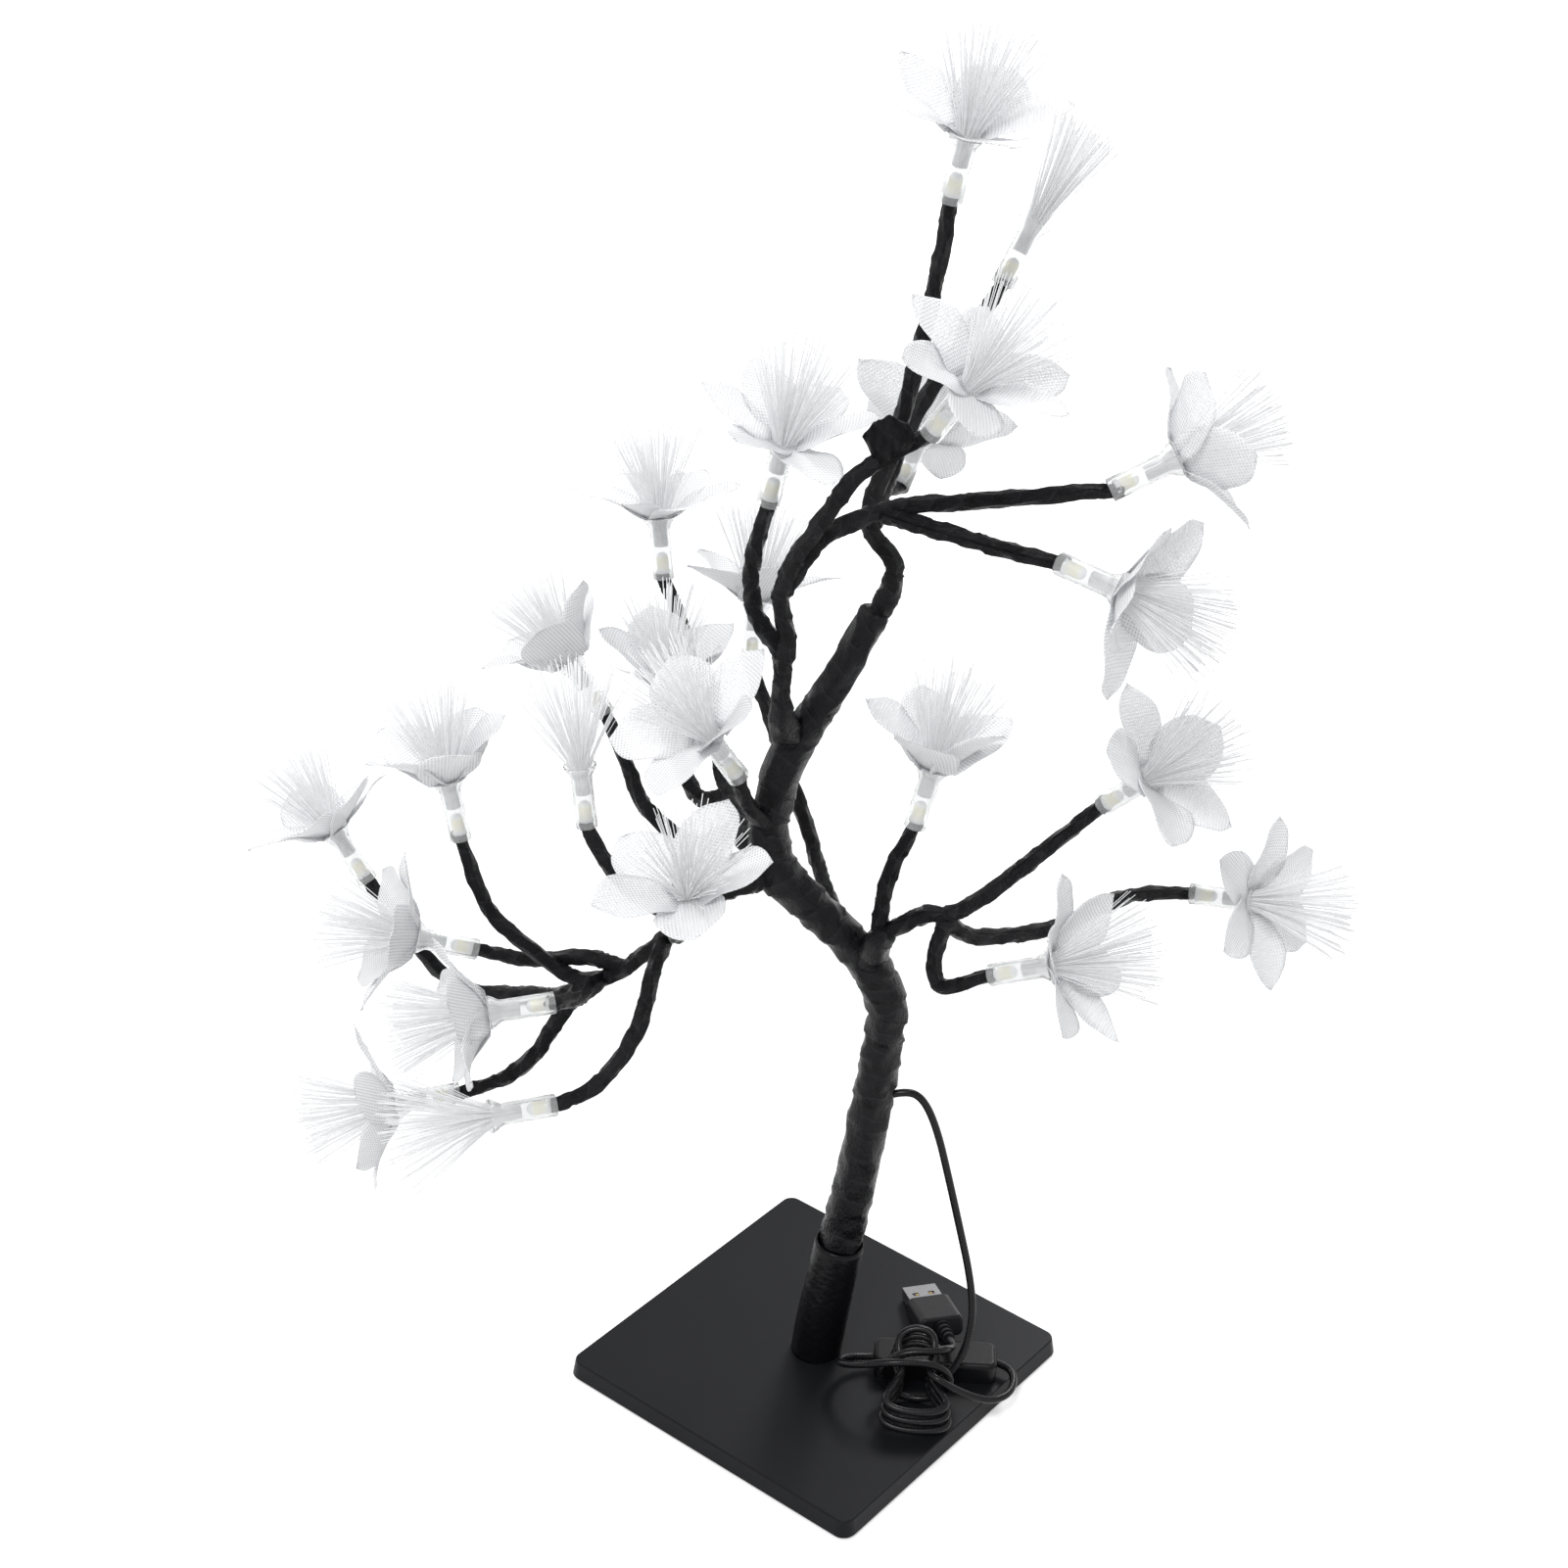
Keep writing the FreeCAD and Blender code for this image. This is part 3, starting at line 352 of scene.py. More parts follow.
def grainedMaterial(name, look):
    # plain moulded, painted or plated surface: colour and roughness drift between two values each,
    # and a fine speckle lifts it
    material, nodes, links, shader = newMaterial(name)
    grain = useGroup(nodes, grainGroup, Fine_Scale=look["fine"], Drift_Scale=look["drift"])
    colour = mixColour(nodes, links, grain.outputs["Drift"], look["dark"], look["light"])
    links.new(colour, shader.inputs["Base Color"])
    links.new(mapRange(nodes, links, grain.outputs["Fine"], *look["rough"]), shader.inputs["Roughness"])
    setInputs(shader, Metallic=look.get("metal", 0.0), Specular_IOR_Level=look.get("specular", 0.5))
    addBump(nodes, links, shader, grain.outputs["Fine"], look["bump"], look.get("depth", 0.0002))
    return material


finishes = {
    "satinBlack": dict(fine=1500.0, drift=22.0, dark=(0.0058, 0.0061, 0.0076),
                       light=(0.0084, 0.0088, 0.0106), rough=(0.32, 0.44), specular=0.12,
                       bump=0.18, depth=0.0001),
    "foamPad": dict(fine=1400.0, drift=60.0, dark=(0.012, 0.012, 0.012), light=(0.03, 0.03, 0.03),
                    rough=(0.85, 0.98), specular=0.2, bump=0.8, depth=0.0004),
    "weightSteel": dict(fine=700.0, drift=40.0, dark=(0.22, 0.22, 0.23), light=(0.34, 0.34, 0.35),
                        rough=(0.35, 0.6), metal=1.0, bump=0.3),
    "zincSteel": dict(fine=900.0, drift=120.0, dark=(0.45, 0.45, 0.44), light=(0.62, 0.62, 0.60),
                      rough=(0.25, 0.45), metal=1.0, bump=0.2),
    "wireCore": dict(fine=900.0, drift=90.0, dark=(0.12, 0.12, 0.12), light=(0.24, 0.24, 0.24),
                     rough=(0.4, 0.6), metal=1.0, bump=0.3),
    "switchPlastic": dict(fine=1900.0, drift=45.0, dark=(0.0036, 0.0036, 0.0046),
                          light=(0.0068, 0.0068, 0.0082), rough=(0.26, 0.40), specular=0.15,
                          bump=0.25, depth=0.00012),
    "buttonPlastic": dict(fine=1900.0, drift=90.0, dark=(0.009, 0.009, 0.011),
                          light=(0.016, 0.016, 0.018), rough=(0.24, 0.38), specular=0.5,
                          bump=0.15, depth=0.0001),
    "board": dict(fine=1200.0, drift=150.0, dark=(0.01, 0.07, 0.025), light=(0.02, 0.13, 0.05),
                  rough=(0.3, 0.5), bump=0.3),
    "plugRubber": dict(fine=2100.0, drift=60.0, dark=(0.005, 0.005, 0.0062),
                       light=(0.010, 0.010, 0.012), rough=(0.34, 0.50), specular=0.16,
                       bump=0.35, depth=0.00012),
    "plugSteel": dict(fine=1500.0, drift=80.0, dark=(0.24, 0.24, 0.25), light=(0.36, 0.36, 0.37),
                      rough=(0.22, 0.36), metal=1.0, bump=0.08),
    "plugInsulator": dict(fine=1500.0, drift=80.0, dark=(0.66, 0.66, 0.66), light=(0.80, 0.80, 0.80),
                          rough=(0.3, 0.42), bump=0.1),
    "contactBrass": dict(fine=1500.0, drift=200.0, dark=(0.62, 0.42, 0.13), light=(0.78, 0.56, 0.2),
                         rough=(0.18, 0.32), metal=1.0, bump=0.1),
    "footSleeve": dict(fine=420.0, drift=70.0, dark=(0.0026, 0.0026, 0.0034),
                       light=(0.0052, 0.0052, 0.0064), rough=(0.24, 0.36), specular=0.14,
                       bump=0.5, depth=0.0006),
    "leadBlack": dict(fine=1300.0, drift=50.0, dark=(0.0036, 0.0036, 0.0046),
                      light=(0.0068, 0.0068, 0.0082), rough=(0.22, 0.32), specular=0.2,
                      bump=0.12, depth=0.00015),
}
made = {name: grainedMaterial(name, look) for name, look in finishes.items()}


def tapeMaterial():
    # colour follows the tape's height as painted shade, darker in its creases and paler on its ridges;
    # a lap's edge is painted paler as a highlight, and dust changes the roughness
    look = tapeLook
    material, nodes, links, shader = newMaterial("crepeTape")
    tape = useGroup(nodes, tapeGroup, Lap_Width=wrap["lapWidth"], Crepe_Scale=look["crepeScale"])
    # painted shade: darker where the tape's height is low, in creases and lap steps, and paler on the
    # ridges
    paintedShadeByHeight = rampOf(nodes, links, tape.outputs["Height"], (0.35, look["dark"]), (1.0, look["light"]))
    # painted highlight: each lap's edge is mixed towards a paler colour
    paintedEdgeHighlight = mixColour(nodes, links, tape.outputs["Edge"], paintedShadeByHeight, look["paintedEdgeHighlight"])
    links.new(paintedEdgeHighlight, shader.inputs["Base Color"])
    links.new(rampOf(nodes, links, tape.outputs["Dust"], *look["rough"]), shader.inputs["Roughness"])
    setInputs(shader, Specular_IOR_Level=look["specular"])
    addBump(nodes, links, shader, tape.outputs["Height"], look["bump"], look["depth"])
    return material


def gauzeMaterial():  # slubs change the tone, and the holes between threads let the light through
    look = dict(pitch=1.02, thread=0.8, alpha=(0.5, 0.95), leastCover=0.25, rough=0.5, specular=0.45,
                bright=(0.94, 0.945, 0.965), shade=(0.885, 0.895, 0.92), scatter=0.25,
                scatterDepth=0.0012, bump=0.35, depth=0.0002)
    material, nodes, links, shader = newMaterial("gauze")
    weave = useGroup(nodes, weaveGroup, Pitch=look["pitch"], Thread=look["thread"])
    colour = mixColour(nodes, links, weave.outputs["Slub"], look["shade"], look["bright"])
    links.new(colour, shader.inputs["Base Color"])
    links.new(mapRange(nodes, links, weave.outputs["Cover"], *look["alpha"], start=look["leastCover"]),
              shader.inputs["Alpha"])
    setInputs(shader, Roughness=look["rough"], Specular_IOR_Level=look["specular"],
              Subsurface_Weight=look["scatter"], Subsurface_Radius=(1.0, 1.0, 1.0),
              Subsurface_Scale=look["scatterDepth"])
    addBump(nodes, links, shader, weave.outputs["Height"], look["bump"], look["depth"])
    return material


def fibreMaterial():  # near-white filament, clearer in places, with a painted glow: a faint emission stands in for light passing through it
    look = dict(fine=260.0, drift=60.0, shade=(0.90, 0.905, 0.925), bright=(0.955, 0.96, 0.97),
                alpha=((0.3, 0.72), (0.7, 0.96)), rough=0.22, specular=0.6, paintedGlow=0.09)
    material, nodes, links, shader = newMaterial("opticalFibre")
    grain = useGroup(nodes, grainGroup, Fine_Scale=look["fine"], Drift_Scale=look["drift"])
    links.new(mixColour(nodes, links, grain.outputs["Drift"], look["shade"], look["bright"]),
              shader.inputs["Base Color"])
    links.new(rampOf(nodes, links, grain.outputs["Fine"], *look["alpha"]), shader.inputs["Alpha"])
    # painted glow: the fibre is no lamp, and its emission only stands in for light passing through it
    setInputs(shader, Roughness=look["rough"], Specular_IOR_Level=look["specular"],
              Emission_Color=rgba(1.0), Emission_Strength=look["paintedGlow"])
    return material


def clearMaterial():  # clear plastic whose tint and polish drift a little
    look = dict(fine=420.0, drift=130.0, shade=(0.93, 0.945, 0.95), bright=(0.985, 0.99, 0.99),
                clearness=0.84, ior=1.36, rough=((0.3, 0.07), (0.7, 0.22)), bump=0.25, depth=0.0005)
    material, nodes, links, shader = newMaterial("clearSleeve")
    grain = useGroup(nodes, grainGroup, Fine_Scale=look["fine"], Drift_Scale=look["drift"])
    links.new(mixColour(nodes, links, grain.outputs["Drift"], look["shade"], look["bright"]),
              shader.inputs["Base Color"])
    links.new(rampOf(nodes, links, grain.outputs["Drift"], *look["rough"]), shader.inputs["Roughness"])
    setInputs(shader, Transmission_Weight=look["clearness"], IOR=look["ior"])
    addBump(nodes, links, shader, grain.outputs["Drift"], look["bump"], look["depth"])
    return material


def lightMaterial():  # clear-white body with a pale yellow chip low in its middle, by its height
    look = dict(fine=900.0, drift=320.0, chip=((0.0, 0.60), (0.2, 0.84), (0.36, (0.90, 0.85, 0.62)),
                                               (0.5, (0.91, 0.90, 0.84)), (0.7, (0.90, 0.91, 0.92))),
                veil=(0.70, 0.71, 0.72), veilShare=0.35, rough=0.25, coat=0.4)
    material, nodes, links, shader = newMaterial("lightBody")
    chip = rampOf(nodes, links, patternOf(nodes, links)[2], *look["chip"])
    grain = useGroup(nodes, grainGroup, Fine_Scale=look["fine"], Drift_Scale=look["drift"])
    veil = mathNode(nodes, links, "MULTIPLY", grain.outputs["Drift"], look["veilShare"])
    links.new(mixColour(nodes, links, veil, chip, look["veil"]), shader.inputs["Base Color"])
    setInputs(shader, Roughness=look["rough"], Coat_Weight=look["coat"])
    return material


made["crepeTape"] = tapeMaterial()
made["gauze"] = gauzeMaterial()
made["opticalFibre"] = fibreMaterial()
made["clearSleeve"] = clearMaterial()
made["lightBody"] = lightMaterial()
print("materials", len(made))

nodeFinish = {
    "base_cover": "satinBlack", "base_pad": "foamPad", "base_weight": "weightSteel",
    "base_washer": "zincSteel", "base_nut": "zincSteel", "trunk_core": "wireCore",
    "switch_upper_shell": "switchPlastic", "switch_lower_shell": "switchPlastic",
    "switch_button": "buttonPlastic", "switch_board": "board", "plug_body": "plugRubber",
    "plug_shell": "plugSteel", "plug_tongue": "plugInsulator", "plug_contacts": "contactBrass",
    "plug_relief": "plugRubber",
}
for node, finish in nodeFinish.items():
    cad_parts[node].data.materials.clear()
    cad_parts[node].data.materials.append(made[finish])


# The camera stands at the photograph's angle, with its own three axes in the lamp's frame.
camera = dict(lens=62.19, place=(0.4314, -0.5784, 0.6409), right=(0.77601, 0.63004, 0.02922),
              up=(-0.33111, 0.36753, 0.86907), back=(0.53681, -0.68409, 0.49382))
camData = bpy.data.cameras.new("camera")
camData.lens, camData.sensor_width = camera["lens"], 36.0
cam = bpy.data.objects.new("camera", camData)
cam.matrix_world = Matrix.Translation(camera["place"]) @ Matrix(
    (camera["right"], camera["up"], camera["back"])).transposed().to_4x4()
bpy.context.scene.collection.objects.link(cam)
bpy.context.scene.camera = cam


# The lead runs from the trunk to the switch, and from the switch to the plug, in millimetres.
lead = {
    "diameter": 2.6, "steps": 10, "roundSteps": 5,
    "drop": [(18.8, 0, 115.5), (25.6, 0, 118.2), (31.5, 0.5, 114.8), (36.6, 0, 103), (41.5, -1, 84),
             (46.2, -2.5, 65), (50.6, -6, 48), (52.6, -10, 35), (51.3, -14.5, 25), (47.6, -17.8, 17.2),
             (43, -20.6, 13.2), (38.5, -21.6, 12.4)],
    "link": [(38.5, -28.9, 23.3), (41.9, -31.6, 22.6), (46.6, -31.2, 19.3), (53, -29.6, 14.8),
             (60, -27.4, 11.3), (66, -23, 10.6), (68.2, -16, 10.8), (66.6, -9.7, 11), (62.2, -8, 11)],
    "leftLoop": [(19.8, -8, 11), (15.5, -8.3, 11.3), (10, -11, 12.8), (7.4, -16.8, 16),
                 (10.2, -23, 20.3), (17, -27, 24.2), (25, -28.2, 26.7)],
    "plugEnd": [(38.8, -22.1, 26.8), (42.8, -21, 27.2), (45.4, -17.2, 24.4), (46.4, -12.7, 21.2),
                (46.3, -8.5, 19.3), (45.4, -5.3, 18.5)],
}
hank = dict(middle=(34.0, -25.0), turns=3.0, perTurn=16, waist=4.5, nearBend=6.5, farBend=9.0,
            near=17.0, nearShrink=0.6, far=15.0, farShrink=1.5, floor=8.3, pitch=3.55,
            waistLift=4.2, farRise=9.5, farRiseMore=1.0)
tie = dict(halfWidth=11.8, halfHeight=9.2, middleHeight=17.6, start=-27.6, advance=5.2, steps=16)


def hankPoints():
    # an ellipse pinched at its waist: half width = waist + lobe * cos^2, reach along the hank = cos,
    # each turn lies a pitch above the last, and the far lobes stand up
    turn = np.linspace(0, hank["turns"], int(hank["turns"] * hank["perTurn"]) + 1)
    a = 2 * np.pi * turn + np.pi / 2
    far = np.cos(a) > 0
    reach = np.where(far, hank["far"] - hank["farShrink"] * turn,
                     hank["near"] - hank["nearShrink"] * turn)
    lobe = (reach ** 2 / np.where(far, hank["farBend"], hank["nearBend"]) + hank["waist"]) / 2
    half = hank["waist"] + lobe * np.cos(a) ** 2
    rise = np.where(far, hank["farRise"] + hank["farRiseMore"] * turn, 0) * np.cos(a) ** 2
    z = hank["floor"] + hank["pitch"] * turn + hank["waistLift"] * np.sin(a) ** 2 + rise
    across = hank["middle"][0] + np.sin(a) * half
    return np.stack([across, hank["middle"][1] + reach * np.cos(a), z], -1)


def tiePoints():  # one upright elliptical turn round the waist, moving on by the advance
    turn = np.linspace(0, 1, tie["steps"] + 1)
    a = 2 * np.pi * turn
    across = hank["middle"][0] + tie["halfWidth"] * np.sin(a)
    up = tie["middleHeight"] + tie["halfHeight"] * np.cos(a)
    return np.stack([across, tie["start"] + tie["advance"] * turn, up], -1)


def addCord(name, points):  # one open spline through the points, with a round section
    curve = bpy.data.curves.new(name, "CURVE")
    curve.dimensions = "3D"
    spline = curve.splines.new("NURBS")
    places = inLamp(points)
    spline.points.add(len(places) - 1)
    spline.points.foreach_set("co", np.column_stack([places, np.ones(len(places))]).ravel())
    spline.order_u = 3
    spline.use_endpoint_u = True
    spline.resolution_u = lead["steps"]
    curve.bevel_depth = lead["diameter"] / 2 * mm
    curve.bevel_resolution = lead["roundSteps"]
    curve.use_fill_caps = True
    curve.materials.append(made["leadBlack"])
    obj = bpy.data.objects.new(name, curve)
    bpy.context.scene.collection.objects.link(obj)
    return obj


supplyLead = addCord("supplyLead", np.vstack([lead["drop"], hankPoints(), lead["link"]]))
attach(supplyLead, "stand")
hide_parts("cord_drop", "cord_hank", "cord_link")
plugLead = addCord("plugLead", np.vstack([lead["leftLoop"], tiePoints(), lead["plugEnd"]]))
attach(plugLead, "stand")
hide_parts("cord_left_loop", "cord_tie", "cord_plug_end")
print("leads", len(supplyLead.data.splines[0].points), len(plugLead.data.splines[0].points))


def woundTube(path, radii, sides, lapRise, lump, seed, calm=None):
    # radius(u, v) = route radius + lap saw-tooth of (v / lap width + u) + slow lumps - creases,
    # carried round the path's own frames; u is the turn round the wire and v the distance along it
    source = np.random.default_rng(seed)
    along = alongOf(path)
    v = along[:, None]
    side, up = framesOf(path)
    u = np.linspace(0, 1, sides, endpoint=False)[None, :]
    a = 2 * np.pi * u
    wander = wrap["lapWander"] * np.sin(a + v / wrap["wanderLength"])
    lap = (v / wrap["lapWidth"] + u + wander) % 1.0
    ridge = lapRise * (1 - lap) ** 2 - lapRise * wrap["lapSink"]
    knots = int(along[-1] / wrap["lumpLength"]) + 4
    field = source.normal(0, 1, (knots, 6))
    rows = np.clip(along / wrap["lumpLength"], 0, knots - 2)
    low = rows.astype(int)
    mix = (rows - low)[:, None]
    mix = mix * mix * (3 - 2 * mix)
    coeff = field[low] * (1 - mix) + field[low + 1] * mix
    waves = np.vstack([0 * a + wrap["lumpMiddle"], np.cos(a), np.sin(a), np.cos(2 * a),
                       np.sin(2 * a), wrap["lumpThird"] * np.cos(3 * a)])
    lumps = coeff @ waves * lump * wrap["lumpShare"]
    fold = wrap["creaseTurns"] * a + v / wrap["creaseLength"]
    fold = fold + wrap["creaseShift"] * coeff[:, :1] + seed
    creases = wrap["crease"] * (wrap["creaseLift"] - np.abs(np.sin(fold)))
    keep = 1.0 if calm is None else np.interp(v, *calm)
    ends = np.clip(np.minimum(v, along[-1] - v) / wrap["endLength"], 0, 1) ** 0.5
    r = (radii[:, None] + (ridge + lumps) * keep + creases) * (1 - wrap["endRound"] * (1 - ends))
    verts = np.vstack([ringsOn(path, side, up, r, a), path[:1], path[-1:]])
    uv = np.stack(np.broadcast_arrays(u, v), -1).reshape(-1, 2)
    uv = np.vstack([uv, [[0.5, 0]], [[0.5, along[-1]]]])
    return verts, gridFaces(len(path), sides), endFans(len(path), sides), uv


def addTaped(name, parts, body, nodes=()):  # tape that rides a body, or rides none if body is None
    obj = addMesh(name, joined(parts), made["crepeTape"])
    if body:
        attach(obj, body)
    if nodes:
        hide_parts(*nodes)
    return obj


trunk = {
    "route": [(0, 0, 7.05), (3, 0, 31), (12, 0, 91), (17, 0, 138), (17.5, 0, 153), (9, 0, 170),
              (-7, 0, 187), (-18, 0, 199), (-22, 0, 210), (-21, 1, 223), (-17, 2, 239),
              (-4, 3, 264), (8, 5, 289)],
    "radius": [8.0, 8.0, 7.0, 6.6, 6.8, 6.4, 6.4, 7.6, 6.8, 6.2, 6.4, 5.2, 4.8],
    "perSpan": 26, "under": 0.15, "lapShare": 1.25, "seed": 3,
    "calm": ([0, 92, 106, 232, 244, 400], [0.3, 0.35, 1.0, 1.0, 0.3, 0.3]),  # smoother at foot and top
}
twig = dict(radius=2.7, tip=2.1, tipSwell=0.35, perSpan=12, plugIn=2.0, lapShare=0.8, lumpShare=0.62,
            seed=20)
bend = dict(neck=4.8, swell=0.1, root=4.2, over=0.15, onward=0.55, perSpan=10, sides=20, lumpShare=0.7,
            seed=60, bandBefore=0.35, bandAfter=0.4)  # the tape over a limb's hinge

limbs = {
    "top": {
        "root": (12, 6, 297), "from": (9, 5, 287), "neck": 3.2,
        "twigs": [[(12, 6, 297), (12, 7, 304), (6, 9, 312), (5, 10, 322), (10, 12, 336),
                   (16, 16, 363), (21, 20, 391), (23, 22, 409)],
                  [(5.5, 10, 318), (10, 24, 324), (16, 38, 336), (31, 52, 358), (41, 60, 372)],
                  [(6, 9, 314), (5, 22, 318), (8, 34, 316), (13, 44, 312)]],
        "heads": [((23, 22, 409), (0.17, -0.15, 0.97), 5, 58),
                  ((41, 60, 372), (0.42, 0.30, 0.85), 0, 0),
                  ((13, 44, 312), (0.30, 0.80, 0.50), 5, 62)],
    },
    "upper": {
        "root": (-19, -8, 259), "from": (-17, 0, 247),
        "twigs": [[(-19, -8, 259), (-19, -11, 272), (-20, -14, 284), (-27, -13, 294),
                   (-29, -10, 303), (-28, -6, 313), (-25, 0, 324)],
                  [(-19, -12, 276), (-18, -16, 289), (-20, -17, 302), (-17, -18, 313),
                   (-10, -19, 326), (-1, -19, 340), (8, -17, 347), (20, -16, 354)],
                  [(-20, -16, 303), (-8, -15, 321), (10, -14, 330), (35, -12, 333), (72, -10, 337)],
                  [(8, -14, 329), (22, -19, 327), (38, -24, 325), (58, -28, 322)]],
        "heads": [((-25, 0, 324), (0.20, -0.10, 0.97), 6, 66),
                  ((20, -16, 354), (0.50, -0.25, 0.83), 6, 70),
                  ((72, -10, 337), (0.88, 0.15, 0.45), 5, 58),
                  ((58, -28, 322), (0.80, -0.55, -0.10), 5, 62)],
    },
    "right": {
        "root": (14, -9, 182), "from": (11, -2, 169),
        "twigs": [[(14, -9, 182), (20, -11, 189), (29, -12, 194), (34, -13, 193), (42, -8, 184),
                   (55, 0, 180), (71, 10, 178), (94, 28, 179), (116, 40, 174)],
                  [(14, -9, 182), (14, -7, 193), (17, -4, 206), (23, 0, 218)],
                  [(33, -13, 193.5), (46, -5, 197), (62, 3, 208), (81, 10, 223)],
                  [(34, -13, 193), (31, -20, 182), (34, -23, 175), (48, -28, 183)]],
        "heads": [((116, 40, 174), (0.93, -0.30, 0.10), 6, 72),
                  ((23, 0, 218), (0.22, 0.10, 0.97), 5, 50),
                  ((81, 10, 223), (0.62, -0.35, 0.70), 5, 70),
                  ((48, -28, 183), (0.88, -0.25, 0.40), 6, 62)],
    },
    "left": {
        "root": (-31, -9, 200), "from": (-20, -2, 201),
        "twigs": [[(-31, -9, 200), (-39, -10, 194), (-50, -8, 181), (-61, -4, 168), (-72, 0, 157),
                   (-82, 3, 154), (-92, 6, 158), (-111, 12, 172), (-121, 20, 194)],
                  [(-37, -10, 196), (-50, -12, 191), (-61, -10, 194), (-72, -2, 201),
                   (-79, 6, 209)],
                  [(-46, -9, 186), (-48, -24, 190), (-47, -38, 199), (-44, -50, 210)],
                  [(-66, -2, 162), (-79, 5, 161), (-99, 14, 153), (-117, 20, 152)],
                  [(-76, 1, 155), (-88, 8, 144), (-100, 18, 137), (-123, 32, 128), (-140, 42, 137),
                   (-158, 50, 158)],
                  [(-80, 2, 153), (-88, 0, 140), (-96, -3, 127), (-106, -4, 118), (-120, -6, 113)],
                  [(-74, 0, 156), (-80, -14, 158), (-86, -26, 164)],
                  [(-53, -7, 177), (-56, -20, 173), (-60, -36, 160), (-71, -46, 148),
                   (-83, -52, 144)]],
        "heads": [((-121, 20, 194), (-0.20, 0.12, 0.97), 5, 50),
                  ((-79, 6, 209), (-0.12, 0.15, 0.98), 0, 0),
                  ((-44, -50, 210), (0.05, -0.50, 0.86), 5, 68),
                  ((-117, 20, 152), (-0.86, -0.20, 0.30), 5, 60),
                  ((-158, 50, 158), (-0.50, 0.10, 0.80), 5, 62),
                  ((-120, -6, 113), (-0.90, -0.20, -0.10), 6, 62),
                  ((-86, -26, 164), (-0.88, -0.24, -0.06), 5, 56),
                  ((-83, -52, 144), (-0.90, -0.35, 0.0), 0, 0)],
    },
    "back": {
        "root": (-29, 13, 203), "from": (-20, 3, 203),
        "twigs": [[(-29, 13, 203), (-33, 24, 206), (-39, 42, 210), (-44, 60, 218), (-53, 80, 238),
                   (-62, 90, 256)],
                  [(-36, 33, 208), (-45, 40, 201), (-52, 50, 205), (-57, 60, 212)],
                  [(-31, 19, 204.5), (-48, 28, 192), (-63, 38, 198), (-71, 52, 207),
                   (-79, 66, 217)]],
        "heads": [((-62, 90, 256), (-0.10, 0.20, 0.97), 6, 62),
                  ((-57, 60, 212), (-0.05, 0.0, 0.99), 5, 46),
                  ((-79, 66, 217), (-0.60, 0.25, 0.80), 5, 50)],
    },
    "trunk": {
        "twigs": [[(3, 4, 173), (0, 14, 176), (-5, 26, 182), (-12, 44, 194), (-22, 64, 212),
                   (-32, 78, 232)],
                  [(-21, -3, 216), (-28, -9, 228), (-31, -13, 240)]],
        "heads": [((-32, 78, 232), (0.05, 0.35, 0.93), 5, 58),
                  ((-31, -13, 240), (-0.45, -0.30, 0.84), 5, 66)],
    },
}


def twigPart(route, heads, seed):  # a twig goes on into its head's sleeve along the head's own axis
    facing = [h[1] for h in heads if tuple(h[0]) == tuple(route[-1])][0]
    points = np.array(route + [tuple(np.array(route[-1]) + unit(facing) * twig["plugIn"])], float)
    path = smoothPath(points, twig["perSpan"])
    thinning = np.linspace(twig["radius"], twig["tip"] + twig["tipSwell"], len(points) - 2)
    radii = spread(np.append(thinning, [twig["tip"], twig["tip"]]), twig["perSpan"])
    return woundTube(path, radii, wrap["tipSides"], wrap["lapRise"] * twig["lapShare"],
                     wrap["lump"] * twig["lumpShare"], seed)


twigs = 0
trunkParts = [woundTube(smoothPath(trunk["route"], trunk["perSpan"]),
                        spread(trunk["radius"], trunk["perSpan"]) - trunk["under"], wrap["sides"],
                        wrap["lapRise"] * trunk["lapShare"], wrap["lump"], trunk["seed"],
                        calm=trunk["calm"])]
for name, limb in limbs.items():
    parts = []
    for route in limb["twigs"]:
        twigs += 1
        parts.append(twigPart(route, limb["heads"], twigs + twig["seed"]))
    if name == "trunk":
        trunkParts += parts
        continue
    body = "limb_%s_arm" % name
    addTaped("limbTape" + name.capitalize(), parts, body, ["limb_" + name])
    run = np.array([limb["from"], limb["root"]], float)
    onward = np.array(limb["twigs"][0][1], float) - run[1]
    collar = smoothPath([run[0], (run[0] + run[1]) / 2, run[1], run[1] + onward * bend["onward"]],
                        bend["perSpan"])
    neck = limb.get("neck", bend["neck"])
    fat = spread([neck, neck + bend["swell"], min(neck, bend["root"]), twig["radius"] + bend["over"]],
                 bend["perSpan"])
    tube = woundTube(collar, fat, bend["sides"], wrap["lapRise"], wrap["lump"] * bend["lumpShare"],
                     twigs + bend["seed"])
    bendTape = addTaped("bendTape" + name.capitalize(), [tube], None)
    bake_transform(bendTape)
addTaped("trunkTape", trunkParts, "stand", ["trunk_wrap"])

tab = dict(corners=[[(5.5, -18.6, 345.5), (1.2, -20.6, 354.8)], [(8, -21, 347.2), (4.6, -22.8, 360)],
                    [(11.5, -21.4, 350), (9, -22.6, 361.8)], [(17, -19.5, 353), (14.8, -20.4, 358)],
                    [(11, -18.6, 351), (9.5, -19.2, 359.5)], [(5.5, -18.2, 346.5), (3, -19.2, 355.5)]],
           rows=9, cols=30, crumple=0.5, waves=((1.0, 5.1, 4), (0.6, 9.7, -7)), jitter=0.22,
           thick=0.35, seed=77)


